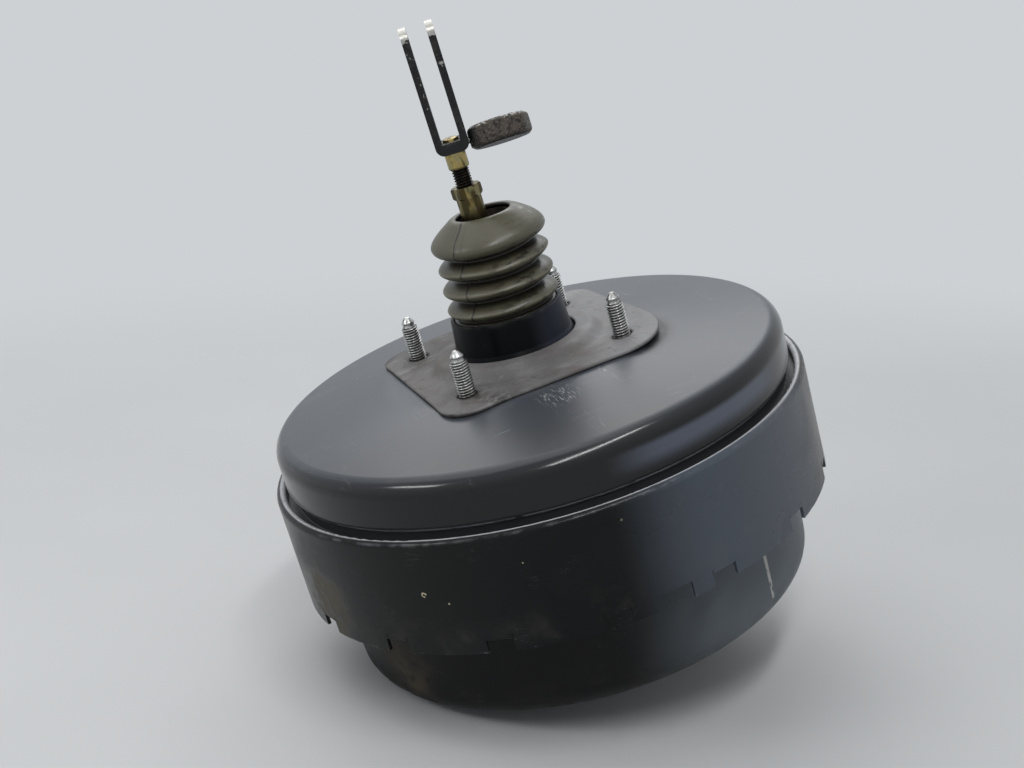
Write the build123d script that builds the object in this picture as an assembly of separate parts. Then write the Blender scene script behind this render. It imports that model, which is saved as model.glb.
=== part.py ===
from build123d import *
from math import atan2, cos, degrees, radians, tan
import os

os.makedirs("parts", exist_ok=True)

# Tandem vacuum brake booster, millimetres. +Z is the booster's axis and points out of the input
# side, towards the pedal. The origin is on the rear shell's flat mounting face, at the centre of
# its square stud pattern. X and Y run along the sides of that square.

# --- Driving dimensions ---------------------------------------------------------------------

# running gap between turned pieces, gap round soft pieces, and play beside a stamped piece
running_gap = 0.05
soft_gap = 0.3
play = 0.2

# outer band with a rolled rim, and lanced tabs and one plain window at its lower edge; the shells
# follow its radius
band_radius = 127.0
band_gauge = 1.6
rim_drop = 31.5
rim_curl = 5.3
rim_reach = 4.6
band_height = 52.7
tab_count = 16
tab_width = 12.0
tab_length = 8.5
tab_gap = 0.4
notch_depth = 7.2
notch_turn = 11.25
window_width = 17.5
window_turn = -90.0

# rear shell: flat mounting pad, conical face, rounded shoulder, waist inside the band
shell_gauge = 1.8
face_radius = 64.0
face_slope = 8.3
pad_bend = 30.0
shoulder_inset = 6.0
shoulder_bend = 6.0
shoulder_lip_drop = 29.0
waist_step = 3.5
flange_bend = 0.8

# front shell: bowl with a raised rest ring round a flat centre pad
bowl_inset = 16.3
bowl_depth = 44.6
bowl_bend = 10.8
front_step = 3.0
step_run = 4.0
step_bend = 2.0
rest_ring_width = 2.6
front_hole_radius = 20.0

# studs of the mounting square, and the pair that carries the master cylinder
stud_spacing = 76.0
stud_radius = 4.0
stud_shoulder_radius = 4.4
stud_reach = 22.7
dog_length = 4.2
dog_radius = 3.0
stud_head_radius = 6.5
stud_head_height = 3.5
stud_plate_side = 96.0
stud_plate_corner = 16.0
stud_plate_gauge = 3.0
stud_plate_hole = 30.0
cylinder_stud_spacing = 84.0
cylinder_stud_reach = 27.5
stiffener_margin = 2.5
front_pad_margin = 3.0
stiffener_gauge = 3.0
stiffener_hole = 22.0

# neck sleeve that guides the valve body
neck_radius = 26.2
neck_gauge = 1.8
neck_height = 22.4
neck_flare = 3.8
neck_flange_radius = 38.0
neck_flange_gauge = 2.0
neck_lip_radius = 20.0
bearing_height = 6.0
rear_seal_height = 5.2
retainer_gauge = 1.2

# mounting gasket with a formed ring over the neck's flange and one corner cut well back
gasket_left = 53.5
gasket_right = 57.0
gasket_front = 59.0
gasket_back = 60.0
gasket_corner = 16.0
gasket_cut_corner = 28.0
gasket_gauge = 1.6
gasket_ring_margin = 4.0
gasket_ring_rise = 5.0
gasket_ring_run = 5.4
gasket_mouth_radius = 29.4
gasket_hole_play = 1.3

# dust boot: plug in the neck, three convolutions, and a cap round the end of the valve body
boot_wall = 2.0
boot_plug_depth = 8.0
boot_groove_radius = 20.4
boot_fold_radius = 25.7
boot_fold_pitch = 9.8
boot_fold_count = 3
boot_crest = 2.5
boot_groove_bend = 1.2
boot_cap_radius = 26.5
boot_cap_height = 16.0
boot_cap_shoulder = 5.5
boot_cap_dome = 7.0
boot_mouth_radius = 12.5

# power piston: stroke, valve body and the two diaphragm plates
stroke = 32.0
end_clearance = 2.0
tail_radius = 16.5
tail_bore = 13.0
hub_radius = 21.9
hub_shoulder = 7.6
hub_flange_radius = 30.0
hub_flange_gauge = 4.0
rear_clearance = 1.39
sleeve_radius = 21.0
spigot_radius = 17.9
spigot_length = 8.0
passage_radius = 1.8
plate_gauge = 1.2
plate_inset = 19.5
plate_step_radius = 66.0
plate_step_run = 4.0
rear_plate_rise = 2.2
front_plate_rise = 4.4
plate_rim_depth = 7.0
diaphragm_gauge = 1.4
diaphragm_gap = 0.05
bead_height = 3.0
bead_width = 6.0
roll_gap = 1.1
roll_width = 7.5
roll_drop = 8.4

# centre plate between the two chambers, and its seal
divider_gauge = 1.6
divider_collar_radius = 26.0
divider_collar_depth = 6.4
seal_lip_height = 4.6

# control valve in the tail of the valve body
seat_drop = 5.2
seat_radius = 10.2
seat_width = 2.0
plunger_head_radius = 8.5
plunger_head_height = 11.4
plunger_radius = 5.0
plunger_travel = 1.8
plunger_end_gap = 0.2
key_gauge = 2.0
key_width = 14.0
key_throat_radius = 3.6
key_gap = 0.1
key_drop = 22.9
poppet_mouth_radius = 6.6
poppet_gauge = 2.0
poppet_height = 15.0
valve_spring_wire = 0.5
rod_spring_wire = 0.8
rod_spring_low_radius = 10.0
rod_spring_high_radius = 7.4
filter_height = 12.0
filter_drop = 9.4

# reaction disc and output rod
disc_radius = 12.3
disc_height = 4.8
disc_drop = 8.0
rod_cup_height = 4.8
rod_retainer_height = 5.6
output_rod_radius = 5.0
rod_overhang = 1.2
tip_hex = 9.0
tip_hex_height = 4.0
tip_radius = 3.5
tip_length = 5.0
tip_thread_radius = 3.0
tip_thread_length = 12.0
tip_drill_depth = 14.0
return_spring_radius = 26.0
return_spring_wire = 1.8
return_spring_turns = 6

# input rod on its ball, leaning a little to one side, and the clevis screwed into its end
ball_radius = 4.5
ball_drop = 10.0
lean_angle = 1.75
fork_turn = -15.8
rod_neck_radius = 2.8
rod_neck_length = 14.0
rod_radius = 4.5
spring_seat_reach = 44.0
spring_seat_radius = 8.2
sleeve_start = 70.0
rod_sleeve_radius = 5.8
rod_sleeve_end = 86.3
rod_hex = 12.2
rod_hex_height = 5.2
thread_radius = 4.0
thread_engaged = 18.0
thread_exposed = 8.5
clevis_neck_radius = 4.8
clevis_neck_height = 7.6
fork_width = 15.2
fork_arm_gauge = 3.3
fork_depth = 14.0
fork_base_gauge = 5.0
fork_length = 57.7
fork_bend = 4.0
fork_tip_corner = 5.0
pin_radius = 5.0
pin_drop = 8.0
tenon_radius = 3.0
buffer_radius = 14.3
buffer_height = 10.4
buffer_bevel = 1.8
buffer_tilt = 14.0
buffer_pin_radius = 1.6
buffer_pin_length = 19.0
buffer_seat = 3.6

# vacuum check valve on the front shell's outer ring
valve_azimuth = 50.0
valve_stem_radius = 5.8
valve_stem_length = 8.0
valve_flange_radius = 11.5
valve_flange_gauge = 2.4
valve_barrel_radius = 10.5
valve_barrel_height = 15.5
valve_chamber_radius = 7.5
valve_wall = 2.0
port_radius = 3.2
nipple_radius = 4.8
nipple_reach = 34.0
nipple_bead_radius = 5.5
nipple_bead_length = 3.0
nipple_lead = 2.5
grommet_wall = 2.2
grommet_lip = 2.2
grommet_lip_height = 3.0
check_disc_gauge = 1.3

# --- Levels along the axis, from the mounting face down, and radii that follow the band ---------

band_top = -rim_drop
band_low = band_top - band_height
tab_top = band_low + notch_depth
rear_flange_top = band_top - rim_curl
rear_bead_top = rear_flange_top - shell_gauge - soft_gap
divider_top = rear_bead_top - bead_height - soft_gap
front_flange_top = tab_top + shell_gauge
front_bead_top = front_flange_top + soft_gap + bead_height
skirt_low = front_bead_top + soft_gap
front_face = band_low - bowl_depth
ring_face = front_face + front_step
band_bore = band_radius - band_gauge
flange_radius = band_bore - play
shell_radius = band_radius - shoulder_inset
waist_radius = shell_radius - waist_step
plate_radius = waist_radius - plate_inset
bowl_radius = band_radius - bowl_inset
rest_ring_radius = bowl_radius - bowl_bend - shell_gauge - rest_ring_width
stiffener_radius = cylinder_stud_spacing / 2 + stud_head_radius + stiffener_margin
front_pad_radius = stiffener_radius + front_pad_margin
valve_circle = (front_pad_radius + rest_ring_radius) / 2
gasket_ring_radius = neck_flange_radius + gasket_ring_margin
cone_drop = tan(radians(face_slope)) * (plate_radius - face_radius)
diaphragm_lift = diaphragm_gauge + diaphragm_gap
rear_seat_drop = cone_drop + shell_gauge + rear_clearance + plate_gauge + rear_plate_rise + diaphragm_lift
hub_flange_low = -rear_seat_drop - hub_flange_gauge
divider_floor = hub_flange_low - stroke - end_clearance
collar_low = divider_floor - divider_collar_depth
front_seat = collar_low - diaphragm_gauge - end_clearance
spigot_low = front_seat - spigot_length
disc_top = front_seat + disc_height + play + (disc_drop - spigot_length)
seal_bottom = bearing_height + soft_gap
stud_plate_low = -shell_gauge - stud_plate_gauge
stiffener_low = front_face + shell_gauge
stiffener_top = stiffener_low + stiffener_gauge
boot_fold_start = neck_height
boot_cap_start = boot_fold_start + boot_fold_pitch * boot_fold_count
boot_top = boot_cap_start + boot_cap_height
tail_top = boot_top - boot_wall - soft_gap
poppet_low = -seat_drop + soft_gap
spring_floor = poppet_low + poppet_height + 2 * retainer_gauge


# --- Shared forms ------------------------------------------------------------------------------

def turned(points):
    """Solid of revolution about Z from a closed outline of (radius, height) points."""
    outline = Polyline(*[(radius, 0, height) for radius, height in points], close=True)
    return revolve(make_face(outline), Axis.Z)


def tube(inner, outer, low, high):
    """Plain ring between two radii and two heights."""
    return turned([(inner, low), (outer, low), (outer, high), (inner, high)])


def round_bar(radius, low, high):
    """Plain round bar between two heights."""
    return Pos(0, 0, (low + high) / 2) * Cylinder(radius, high - low)


def rounded_tube(inner, outer, low, high, corner):
    """Ring with every edge rounded, for rubber beads and seals."""
    ring = tube(inner, outer, low, high)
    return fillet(ring.edges(), min(corner, 0.45 * (outer - inner), 0.45 * (high - low)))


def pressing(points, gauge, bends):
    """Pressed sheet turned about Z: points follow one skin, with the metal on their left."""
    path = [Vector(radius, 0, height) for radius, height in points]
    runs = [(after - before).normalized() for before, after in zip(path, path[1:])]
    sides = [Vector(-run.Z, 0, run.X) for run in runs]
    back = [path[0] + sides[0] * gauge]
    skin_radii = []
    back_radii = []
    for corner, side, next_side, run, bend in zip(path[1:], sides, sides[1:], runs, bends):
        back.append(corner + (side + next_side) * (gauge / (1 + side.dot(next_side))))
        outside_bend = run.dot(next_side) < 0
        skin_radii.append(bend + gauge if outside_bend else bend)
        back_radii.append(bend if outside_bend else bend + gauge)
    back.append(path[-1] + sides[-1] * gauge)
    skin_line = FilletPolyline(*path, radius=skin_radii)
    back_line = FilletPolyline(*back, radius=back_radii)
    ends = [Line(path[0], back[0]), Line(path[-1], back[-1])]
    return revolve(make_face([*skin_line.edges(), *back_line.edges(), *ends]), Axis.Z)


def coil(low, high, low_radius, high_radius, wire, turns):
    """Wire spring between two levels, of six-sided wire."""
    rise = high - low - 2 * wire
    cone = degrees(atan2(high_radius - low_radius, rise))
    path = Helix(pitch=rise / turns, height=rise, radius=low_radius, cone_angle=cone)
    start = Plane(path @ 0, x_dir=(1, 0, 0), z_dir=path % 0)
    return Pos(0, 0, low + wire) * sweep(start * RegularPolygon(wire, 6), path=path, is_frenet=True)


def stud(low, face, tip):
    """Press-in stud: head, shoulder up to the face it stands on, thread and dog point."""
    shoulder = tip - dog_length
    thread_end = shoulder - (stud_radius - dog_radius)
    head_low = low - stud_head_height
    return turned([(0, head_low), (stud_head_radius, head_low), (stud_head_radius, low),
                   (stud_shoulder_radius, low), (stud_shoulder_radius, face), (stud_radius, face),
                   (stud_radius, thread_end), (dog_radius, shoulder), (dog_radius, tip - 0.6),
                   (dog_radius - 0.6, tip), (0, tip)])


# --- Housing -----------------------------------------------------------------------------------

stud_places = GridLocations(stud_spacing, stud_spacing, 2, 2).locations
cylinder_stud_places = GridLocations(0, cylinder_stud_spacing, 1, 2).locations


def make_rear_shell():
    """Dished rear half: flat pad, cone, rounded shoulder, stepped waist and clamped flange."""
    shoulder_drop = tan(radians(face_slope)) * (shell_radius - face_radius)
    lip = -shoulder_lip_drop
    path = [(flange_radius, rear_flange_top), (waist_radius, rear_flange_top),
            (waist_radius, lip - waist_step * 0.6), (shell_radius, lip),
            (shell_radius, -shoulder_drop), (face_radius, 0), (neck_radius, 0)]
    shell = pressing(path, shell_gauge, [flange_bend, 1.0, 1.0, shoulder_bend, pad_bend])
    holes = [place * Cylinder(stud_shoulder_radius, 4 * shell_gauge) for place in stud_places]
    return shell - holes


def make_stud_plate():
    """Rounded square plate inside the rear shell that the four stud heads bear on."""
    outline = RectangleRounded(stud_plate_side, stud_plate_side, stud_plate_corner)
    plate = Pos(0, 0, stud_plate_low) * extrude(outline, stud_plate_gauge)
    cuts = [place * Cylinder(stud_shoulder_radius, 8 * stud_plate_gauge) for place in stud_places]
    cuts.append(Cylinder(stud_plate_hole, 8 * stud_plate_gauge))
    return plate - cuts


def make_mounting_studs():
    """The four studs of the mounting square."""
    one = stud(stud_plate_low, 0, stud_reach)
    return [place * one for place in stud_places]


def make_neck_sleeve():
    """Black sleeve on the mounting face: flange, flared foot, and a lip that carries the bearing."""
    bore = neck_radius - neck_gauge
    foot = neck_flange_gauge + neck_flare
    outline = [(neck_lip_radius, -shell_gauge), (neck_radius - play, -shell_gauge),
               (neck_radius - play, 0), (neck_flange_radius, 0), (neck_flange_radius, neck_flange_gauge),
               (neck_radius + neck_flare, neck_flange_gauge), (neck_radius + 0.3 * neck_flare, foot + 2),
               (neck_radius, neck_height), (bore, neck_height), (bore, 0), (neck_lip_radius, 0)]
    sleeve = turned(outline)
    rim = sleeve.edges().filter_by(GeomType.CIRCLE).sort_by(Axis.Z)[-2:]
    return fillet(rim, neck_gauge * 0.3)


def make_mounting_gasket():
    """Flat gasket sheet with a ring formed up over the neck sleeve's flange."""
    corners = [(-gasket_left, -gasket_front), (gasket_right, -gasket_front), (gasket_right, gasket_back),
               (-gasket_left, gasket_back)]
    outline = make_face(Polyline(*corners, close=True))
    cut_corner = outline.vertices().sort_by_distance(corners[1])[0]
    outline = fillet(cut_corner, gasket_cut_corner)
    square_corners = [point for point in outline.vertices()
                      if any((point.center() - Vector(*corner)).length < 0.01 for corner in corners)]
    outline = fillet(square_corners, gasket_corner)
    holes = [place * Cylinder(stud_radius + gasket_hole_play, 8 * gasket_gauge) for place in stud_places]
    sheet = extrude(outline, gasket_gauge) - holes - Cylinder(gasket_ring_radius, 8 * gasket_gauge)
    shoulder = gasket_ring_radius - gasket_ring_run
    path = [(gasket_mouth_radius, gasket_ring_rise), (shoulder, 0.8 * gasket_ring_rise),
            (gasket_ring_radius - 1, 0), (gasket_ring_radius + 1, 0)]
    ring = pressing(path, gasket_gauge, [1.0, 1.0])
    return sheet + ring


def make_rear_bearing():
    """Plastic guide ring on the neck's lip, in which the valve body's tail runs."""
    return tube(tail_radius + running_gap, neck_radius - neck_gauge - running_gap, 0, bearing_height)


def make_rear_seal():
    """Rubber lip seal over the bearing."""
    outer = neck_radius - neck_gauge - running_gap
    inner = tail_radius + soft_gap
    top = seal_bottom + rear_seal_height
    heel = outer - 3.0
    return turned([(inner, seal_bottom), (outer, seal_bottom), (outer, top), (heel, top),
                   (heel, seal_bottom + 2.2), (inner + 1.6, seal_bottom + 2.2),
                   (inner + 1.2, top - 0.6), (inner, top - 0.6)])


def make_rear_seal_retainer():
    """Pressed ring that holds the rear seal down."""
    low = seal_bottom + rear_seal_height + play
    outer = neck_radius - neck_gauge - running_gap
    return tube(tail_radius + 1.5, outer, low, low + retainer_gauge)


def make_dust_boot():
    """Bellows from the neck to the end of the tail, with an open cap that the rod comes out of."""
    plug = neck_radius - neck_gauge - 0.1
    inner_fold = boot_fold_radius - boot_wall
    inner_groove = boot_groove_radius - boot_wall
    outer = [(plug, neck_height - boot_plug_depth), (plug, neck_height)]
    inner = [(plug - boot_wall, neck_height - boot_plug_depth), (plug - boot_wall, neck_height)]
    for fold in range(boot_fold_count):
        crest = boot_fold_start + boot_fold_pitch * (fold + 0.5)
        groove = crest + boot_fold_pitch / 2
        outer += [(boot_fold_radius, crest - boot_crest), (boot_fold_radius, crest + boot_crest),
                  (boot_groove_radius, groove)]
        inner += [(inner_fold, crest - boot_crest + 1), (inner_fold, crest + boot_crest - 1),
                  (inner_groove, groove - 1), (inner_groove, groove + 1)]
    cap_side = boot_cap_start + 0.34 * boot_cap_height
    skirt = tail_radius + soft_gap
    cap_rim = [(boot_cap_radius, boot_cap_start + 1.2), (boot_cap_radius, cap_side + boot_cap_shoulder),
               (boot_cap_radius - boot_cap_dome, boot_top)]
    outer += cap_rim + [(boot_mouth_radius, boot_top)]
    inner_cap = boot_cap_radius - boot_wall
    under = boot_top - boot_wall
    inner += [(inner_cap, boot_cap_start + 1.2 + boot_wall), (inner_cap, cap_side + boot_cap_shoulder - 1),
              (inner_cap - boot_cap_dome + 1.2, under), (skirt + boot_wall, under),
              (skirt + boot_wall, cap_side + 1), (skirt, cap_side + 1), (skirt, under),
              (boot_mouth_radius, under)]
    outline = Polyline(*[(radius, 0, height) for radius, height in outer + inner[::-1]], close=True)
    wall = make_face(outline)
    for line, bend in [(boot_fold_radius, boot_crest - 0.1), (boot_groove_radius, boot_groove_bend)]:
        corners = [point for point in wall.vertices()
                   if abs(point.X - line) < 0.01 and point.Z < boot_cap_start + 1]
        wall = fillet(corners, bend)
    for (radius, height), bend in zip(cap_rim, [2.6, 5.0, 5.0]):
        corner = wall.vertices().sort_by_distance((radius, 0, height))[0]
        wall = fillet(corner, bend)
    return revolve(wall, Axis.Z)


def make_outer_band():
    """Band with its top edge rolled in over the rear flange. Its lower edge has notches with lanced
    tabs, and one plain window between two of them."""
    curl = band_radius - rim_reach
    path = [(band_radius, band_low), (band_radius, band_top), (curl, band_top), (curl, rear_flange_top)]
    band = pressing(path, band_gauge, [0.8, 0.5])
    places = PolarLocations(0, tab_count, start_angle=notch_turn).locations
    notch = Pos(band_radius, 0, tab_top - notch_depth) * Box(2 * tab_length, tab_width, 2 * notch_depth)
    window = Pos(band_radius, 0, tab_top - notch_depth) * Box(2 * tab_length, window_width, 2 * notch_depth)
    band = band - [place * notch for place in places] - Rot(0, 0, window_turn) * window
    tab_reach = band_radius - tab_length
    low = tab_top - band_gauge
    root = tab_top + tab_gap
    outline = Polyline((tab_reach, 0, low), (band_radius - tab_gap, 0, low),
                       (band_radius, 0, low + tab_gap), (band_radius, 0, root), (band_bore, 0, root),
                       (band_bore, 0, tab_top), (tab_reach, 0, tab_top), close=True)
    tab = extrude(make_face(outline), tab_width / 2 - play, both=True)
    return band + [place * tab for place in places]


def make_centre_plate():
    """Divider with a folded skirt that spans the band, a channel, and a collar round the sleeve."""
    channel = waist_radius - 0.5
    path = [(flange_radius, skirt_low), (flange_radius, divider_top), (channel, divider_top),
            (channel, divider_floor), (divider_collar_radius, divider_floor),
            (divider_collar_radius, collar_low)]
    return pressing(path, divider_gauge, [0.8, 0.8, 2.0, 1.0])


def make_centre_seal():
    """Rubber seal in the centre plate's collar, with its lip on the valve body's sleeve."""
    outer = divider_collar_radius - running_gap
    inner = sleeve_radius + soft_gap
    low = collar_low + retainer_gauge + play
    high = low + seal_lip_height
    return turned([(inner, low), (outer, low), (outer, high), (outer - 1.6, high),
                   (outer - 1.6, low + 1.8), (inner + 1.4, low + 1.8), (inner + 1.0, high), (inner, high)])


def make_centre_seal_retainer():
    """Ring pressed into the foot of the centre plate's collar."""
    return tube(sleeve_radius + 0.5, divider_collar_radius - running_gap, collar_low,
                collar_low + retainer_gauge)


def make_front_shell():
    """Front bowl: centre pad, raised ring that the booster stands on, wall and clamped flange."""
    inner_step = front_pad_radius + step_run
    outer_step = rest_ring_radius - step_run
    path = [(front_hole_radius, front_face), (front_pad_radius, front_face), (inner_step, ring_face),
            (outer_step, ring_face), (rest_ring_radius, front_face), (bowl_radius, front_face),
            (bowl_radius, tab_top), (flange_radius, tab_top)]
    shell = pressing(path, shell_gauge, 4 * [step_bend] + [bowl_bend, flange_bend])
    cuts = [place * Pos(0, 0, front_face) * Cylinder(stud_shoulder_radius, 8 * shell_gauge)
            for place in cylinder_stud_places]
    cuts.append(valve_place * Pos(0, 0, ring_face) * Cylinder(grommet_neck, 8 * shell_gauge))
    return shell - cuts


def make_front_stiffener():
    """Thick disc inside the bowl that carries the master-cylinder studs and the return spring."""
    disc = tube(stiffener_hole, stiffener_radius, stiffener_low, stiffener_top)
    holes = [place * Pos(0, 0, stiffener_low) * Cylinder(stud_shoulder_radius, 8 * stiffener_gauge)
             for place in cylinder_stud_places]
    return disc - holes


def make_cylinder_studs():
    """The two studs that the master cylinder bolts to, pointing forwards."""
    one = stud(-stiffener_top, -front_face, -front_face + cylinder_stud_reach)
    return [place * Rot(180, 0, 0) * one for place in cylinder_stud_places]


def make_front_rod_seal():
    """Stepped rubber seal in the front shell's centre hole, round the output rod."""
    inner = output_rod_radius + soft_gap
    rim = stiffener_hole - 0.5
    plug = front_hole_radius - 0.1
    return turned([(inner, front_face - 1.2), (plug, front_face - 1.2), (plug, stiffener_low),
                   (rim, stiffener_low), (rim, stiffener_top - 0.5), (inner + 5, stiffener_top - 0.5),
                   (inner + 2, stiffener_low + 1.0), (inner, stiffener_low + 0.4)])


def make_return_spring():
    """Coil spring between the front plate and the stiffener."""
    return coil(stiffener_top + 0.1, front_seat - plate_gauge - 0.1, return_spring_radius,
                return_spring_radius, return_spring_wire, return_spring_turns)


# --- Vacuum check valve ------------------------------------------------------------------------

valve_place = Rot(0, 0, valve_azimuth) * Pos(valve_circle, 0, 0)
grommet_bore = valve_stem_radius + soft_gap
grommet_neck = grommet_bore + grommet_wall
grommet_low = ring_face - grommet_lip_height
flange_low = grommet_low - soft_gap - valve_flange_gauge
chamber_top = flange_low - 0.6
barrel_low = flange_low - valve_barrel_height
nipple_level = (chamber_top + barrel_low) / 2 - 2.0


def make_valve_grommet():
    """Rubber grommet that seals the check valve in the front shell."""
    lip = grommet_neck + grommet_lip
    inside = ring_face + shell_gauge
    neck = grommet_neck - 0.1
    grommet = turned([(grommet_bore, grommet_low), (lip, grommet_low), (lip, ring_face), (neck, ring_face),
                      (neck, inside), (lip, inside), (lip - 1.4, inside + grommet_lip_height),
                      (grommet_bore, inside + grommet_lip_height)])
    return valve_place * grommet


def make_check_valve_body():
    """Elbow with a stem in the grommet, a hollow barrel and a beaded hose nipple."""
    top = flange_low + valve_flange_gauge
    stem_top = ring_face + shell_gauge + valve_stem_length
    floor = barrel_low + valve_wall
    barrel = turned([(0, barrel_low), (valve_barrel_radius - 1, barrel_low),
                     (valve_barrel_radius, barrel_low + 1), (valve_barrel_radius, flange_low),
                     (valve_flange_radius, flange_low), (valve_flange_radius, top),
                     (valve_stem_radius, top), (valve_stem_radius, stem_top - 1.2),
                     (valve_stem_radius - 1.2, stem_top), (0, stem_top)])
    bead_end = nipple_reach - nipple_lead
    bead_start = bead_end - nipple_bead_length
    outline = [(0, 0), (nipple_radius, 0), (nipple_radius, bead_start - 1.5),
               (nipple_bead_radius, bead_start), (nipple_bead_radius, bead_end),
               (nipple_radius - 0.4, nipple_reach), (0, nipple_reach)]
    turn_out = Pos(0, 0, nipple_level) * Rot(0, 90, 0)
    nipple = turn_out * turned(outline)
    chamber = round_bar(valve_chamber_radius, floor, chamber_top)
    inlet = round_bar(port_radius, chamber_top - 1, stem_top + 1)
    outlet = turn_out * round_bar(port_radius, 0, nipple_reach + 1)
    return valve_place * (barrel + nipple - chamber - inlet - outlet)


def make_check_disc():
    """Rubber disc that closes the stem's port from below."""
    top = chamber_top - soft_gap
    return valve_place * round_bar(valve_chamber_radius - 0.7, top - check_disc_gauge, top)


def make_check_spring():
    """Light spring under the check disc."""
    floor = barrel_low + valve_wall
    top = chamber_top - soft_gap - check_disc_gauge
    return valve_place * coil(floor + 0.1, top - 0.1, 4.6, 4.6, 0.4, 3)


# --- Power piston ------------------------------------------------------------------------------

head_bore_low = -ball_drop - plunger_head_height / 2 - plunger_travel - 2.5
key_top = -key_drop
key_low = key_top - key_gauge


passage_circle = (disc_radius + spigot_radius) / 2
passage_places = [Rot(0, 0, 90), Rot(0, 0, -90)]


def make_passage():
    """Core of one vacuum passage: entry beside the seat, axial run and a port to the rear chamber."""
    entry_height = 5.0
    entry_top = -seat_drop - 1.6
    inner = seat_radius + seat_width / 2
    entry_level = entry_top - entry_height / 2
    axial = Pos(passage_circle, 0, 0) * round_bar(passage_radius, spigot_low - 1, entry_level)
    entry = Pos((inner + passage_circle) / 2, 0, entry_level) * Box(
        passage_circle - inner, 2 * passage_radius, entry_height)
    port_level = hub_flange_low - passage_radius - 0.6
    port = Pos(passage_circle, 0, port_level) * Rot(0, 90, 0) * round_bar(passage_radius, 0, sleeve_radius)
    return axial + entry + port


def make_valve_body():
    """Moulded valve body: tail, hub, sleeve through the centre plate and nose for the output rod."""
    seat_inner = seat_radius - seat_width / 2
    seat_outer = seat_radius + seat_width / 2
    outline = [(tail_radius - 1, tail_top), (tail_radius, tail_top - 1), (tail_radius, -hub_shoulder),
               (hub_radius, -hub_shoulder), (hub_radius, -rear_seat_drop),
               (hub_flange_radius, -rear_seat_drop), (hub_flange_radius, hub_flange_low),
               (sleeve_radius, hub_flange_low), (sleeve_radius, front_seat), (spigot_radius, front_seat),
               (spigot_radius, spigot_low + 0.8), (spigot_radius - 0.8, spigot_low),
               (disc_radius + play, spigot_low), (disc_radius + play, disc_top),
               (plunger_radius + running_gap, disc_top), (plunger_radius + running_gap, head_bore_low),
               (plunger_head_radius + running_gap, head_bore_low),
               (plunger_head_radius + running_gap, -seat_drop - 1.2), (seat_inner, -seat_drop - 1.2),
               (seat_inner, -seat_drop), (seat_outer, -seat_drop), (seat_outer, -seat_drop - 1.6),
               (tail_bore, -seat_drop - 1.6), (tail_bore, tail_top)]
    body = turned(outline)
    slot_low = key_low - key_gap
    slot_high = key_top + key_gap
    slot = Pos(sleeve_radius / 2, 0, (slot_low + slot_high) / 2) * Box(
        sleeve_radius + key_width + 6, key_width + 2 * key_gap, slot_high - slot_low)
    return body - slot - [place * make_passage() for place in passage_places]


def make_stop_key():
    """Flat U-shaped key that straddles the plunger's groove and limits its travel."""
    reach = sleeve_radius - 0.8
    tail = key_width / 2 + 1.5
    blank = Pos((reach - tail) / 2, 0) * Rectangle(reach + tail, key_width)
    throat = Pos(-tail, 0) * Rectangle(2 * tail, 2 * key_throat_radius + 0.2)
    key = extrude(blank & Circle(reach) - throat - Circle(key_throat_radius + 0.1), key_gauge)
    return Pos(0, 0, key_low) * key


def make_plate(seat, rise, bore):
    """Pressed diaphragm plate: flat hub, raised outer zone and turned-down rim."""
    high = seat + rise
    path = [(plate_radius, high - plate_rim_depth), (plate_radius, high), (plate_step_radius, high),
            (plate_step_radius - plate_step_run, seat), (bore, seat)]
    return pressing(path, plate_gauge, [1.5, 2.0, 2.0])


def make_diaphragm(seat, rise, bead_top, roll_radius, bead_inner, hub_bead_radius):
    """Rubber diaphragm lying on its plate, rolled down to the bead clamped in the housing."""
    high = seat + rise + diaphragm_lift
    low = bead_top - 0.6
    shift = diaphragm_lift * tan(atan2(rise, plate_step_run) / 2)
    step_top = plate_step_radius - shift
    step_foot = step_top - plate_step_run
    edge = high - 0.6
    path = [(bead_inner + 1.0, low), (roll_radius, low), (roll_radius, edge - roll_drop),
            (roll_radius - roll_width, edge), (plate_radius - 1.0, high), (step_top, high),
            (step_foot, seat + diaphragm_lift), (hub_bead_radius + 2.0, seat + diaphragm_lift)]
    sheet = pressing(path, diaphragm_gauge, [0.8, 3.0, 3.0, 3.0, 2.0, 2.0])
    bead = rounded_tube(bead_inner, bead_inner + bead_width, bead_top - bead_height, bead_top, 0.8)
    hub_bead = tube(hub_bead_radius, hub_bead_radius + 3.6, seat + diaphragm_gap, seat + 2.6)
    return sheet + bead + hub_bead


rear_plate_seat = -rear_seat_drop + plate_gauge
front_plate_seat = front_seat
bead_inner = flange_radius - bead_width - play


def make_rear_plate():
    """Rear diaphragm plate, seated on the valve body's hub flange."""
    return make_plate(rear_plate_seat, rear_plate_rise, hub_radius + running_gap)


def make_front_plate():
    """Front diaphragm plate, seated on the shoulder of the valve body's nose."""
    return make_plate(front_plate_seat, front_plate_rise, spigot_radius + running_gap)


def make_rear_diaphragm():
    """Rolling diaphragm of the rear chamber."""
    roll = waist_radius - shell_gauge - roll_gap
    return make_diaphragm(rear_plate_seat, rear_plate_rise, rear_bead_top, roll, bead_inner,
                          hub_radius + 0.3)


def make_front_diaphragm():
    """Rolling diaphragm of the front chamber."""
    roll = waist_radius - 0.5 - roll_gap
    return make_diaphragm(front_plate_seat, front_plate_rise, front_bead_top, roll, bead_inner,
                          sleeve_radius + 0.4)


def make_plate_lock_ring():
    """Lock ring that holds the front plate on the nose."""
    top = front_seat - plate_gauge
    return tube(spigot_radius + running_gap, spigot_radius + 4.6, top - 1.4, top)


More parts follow.
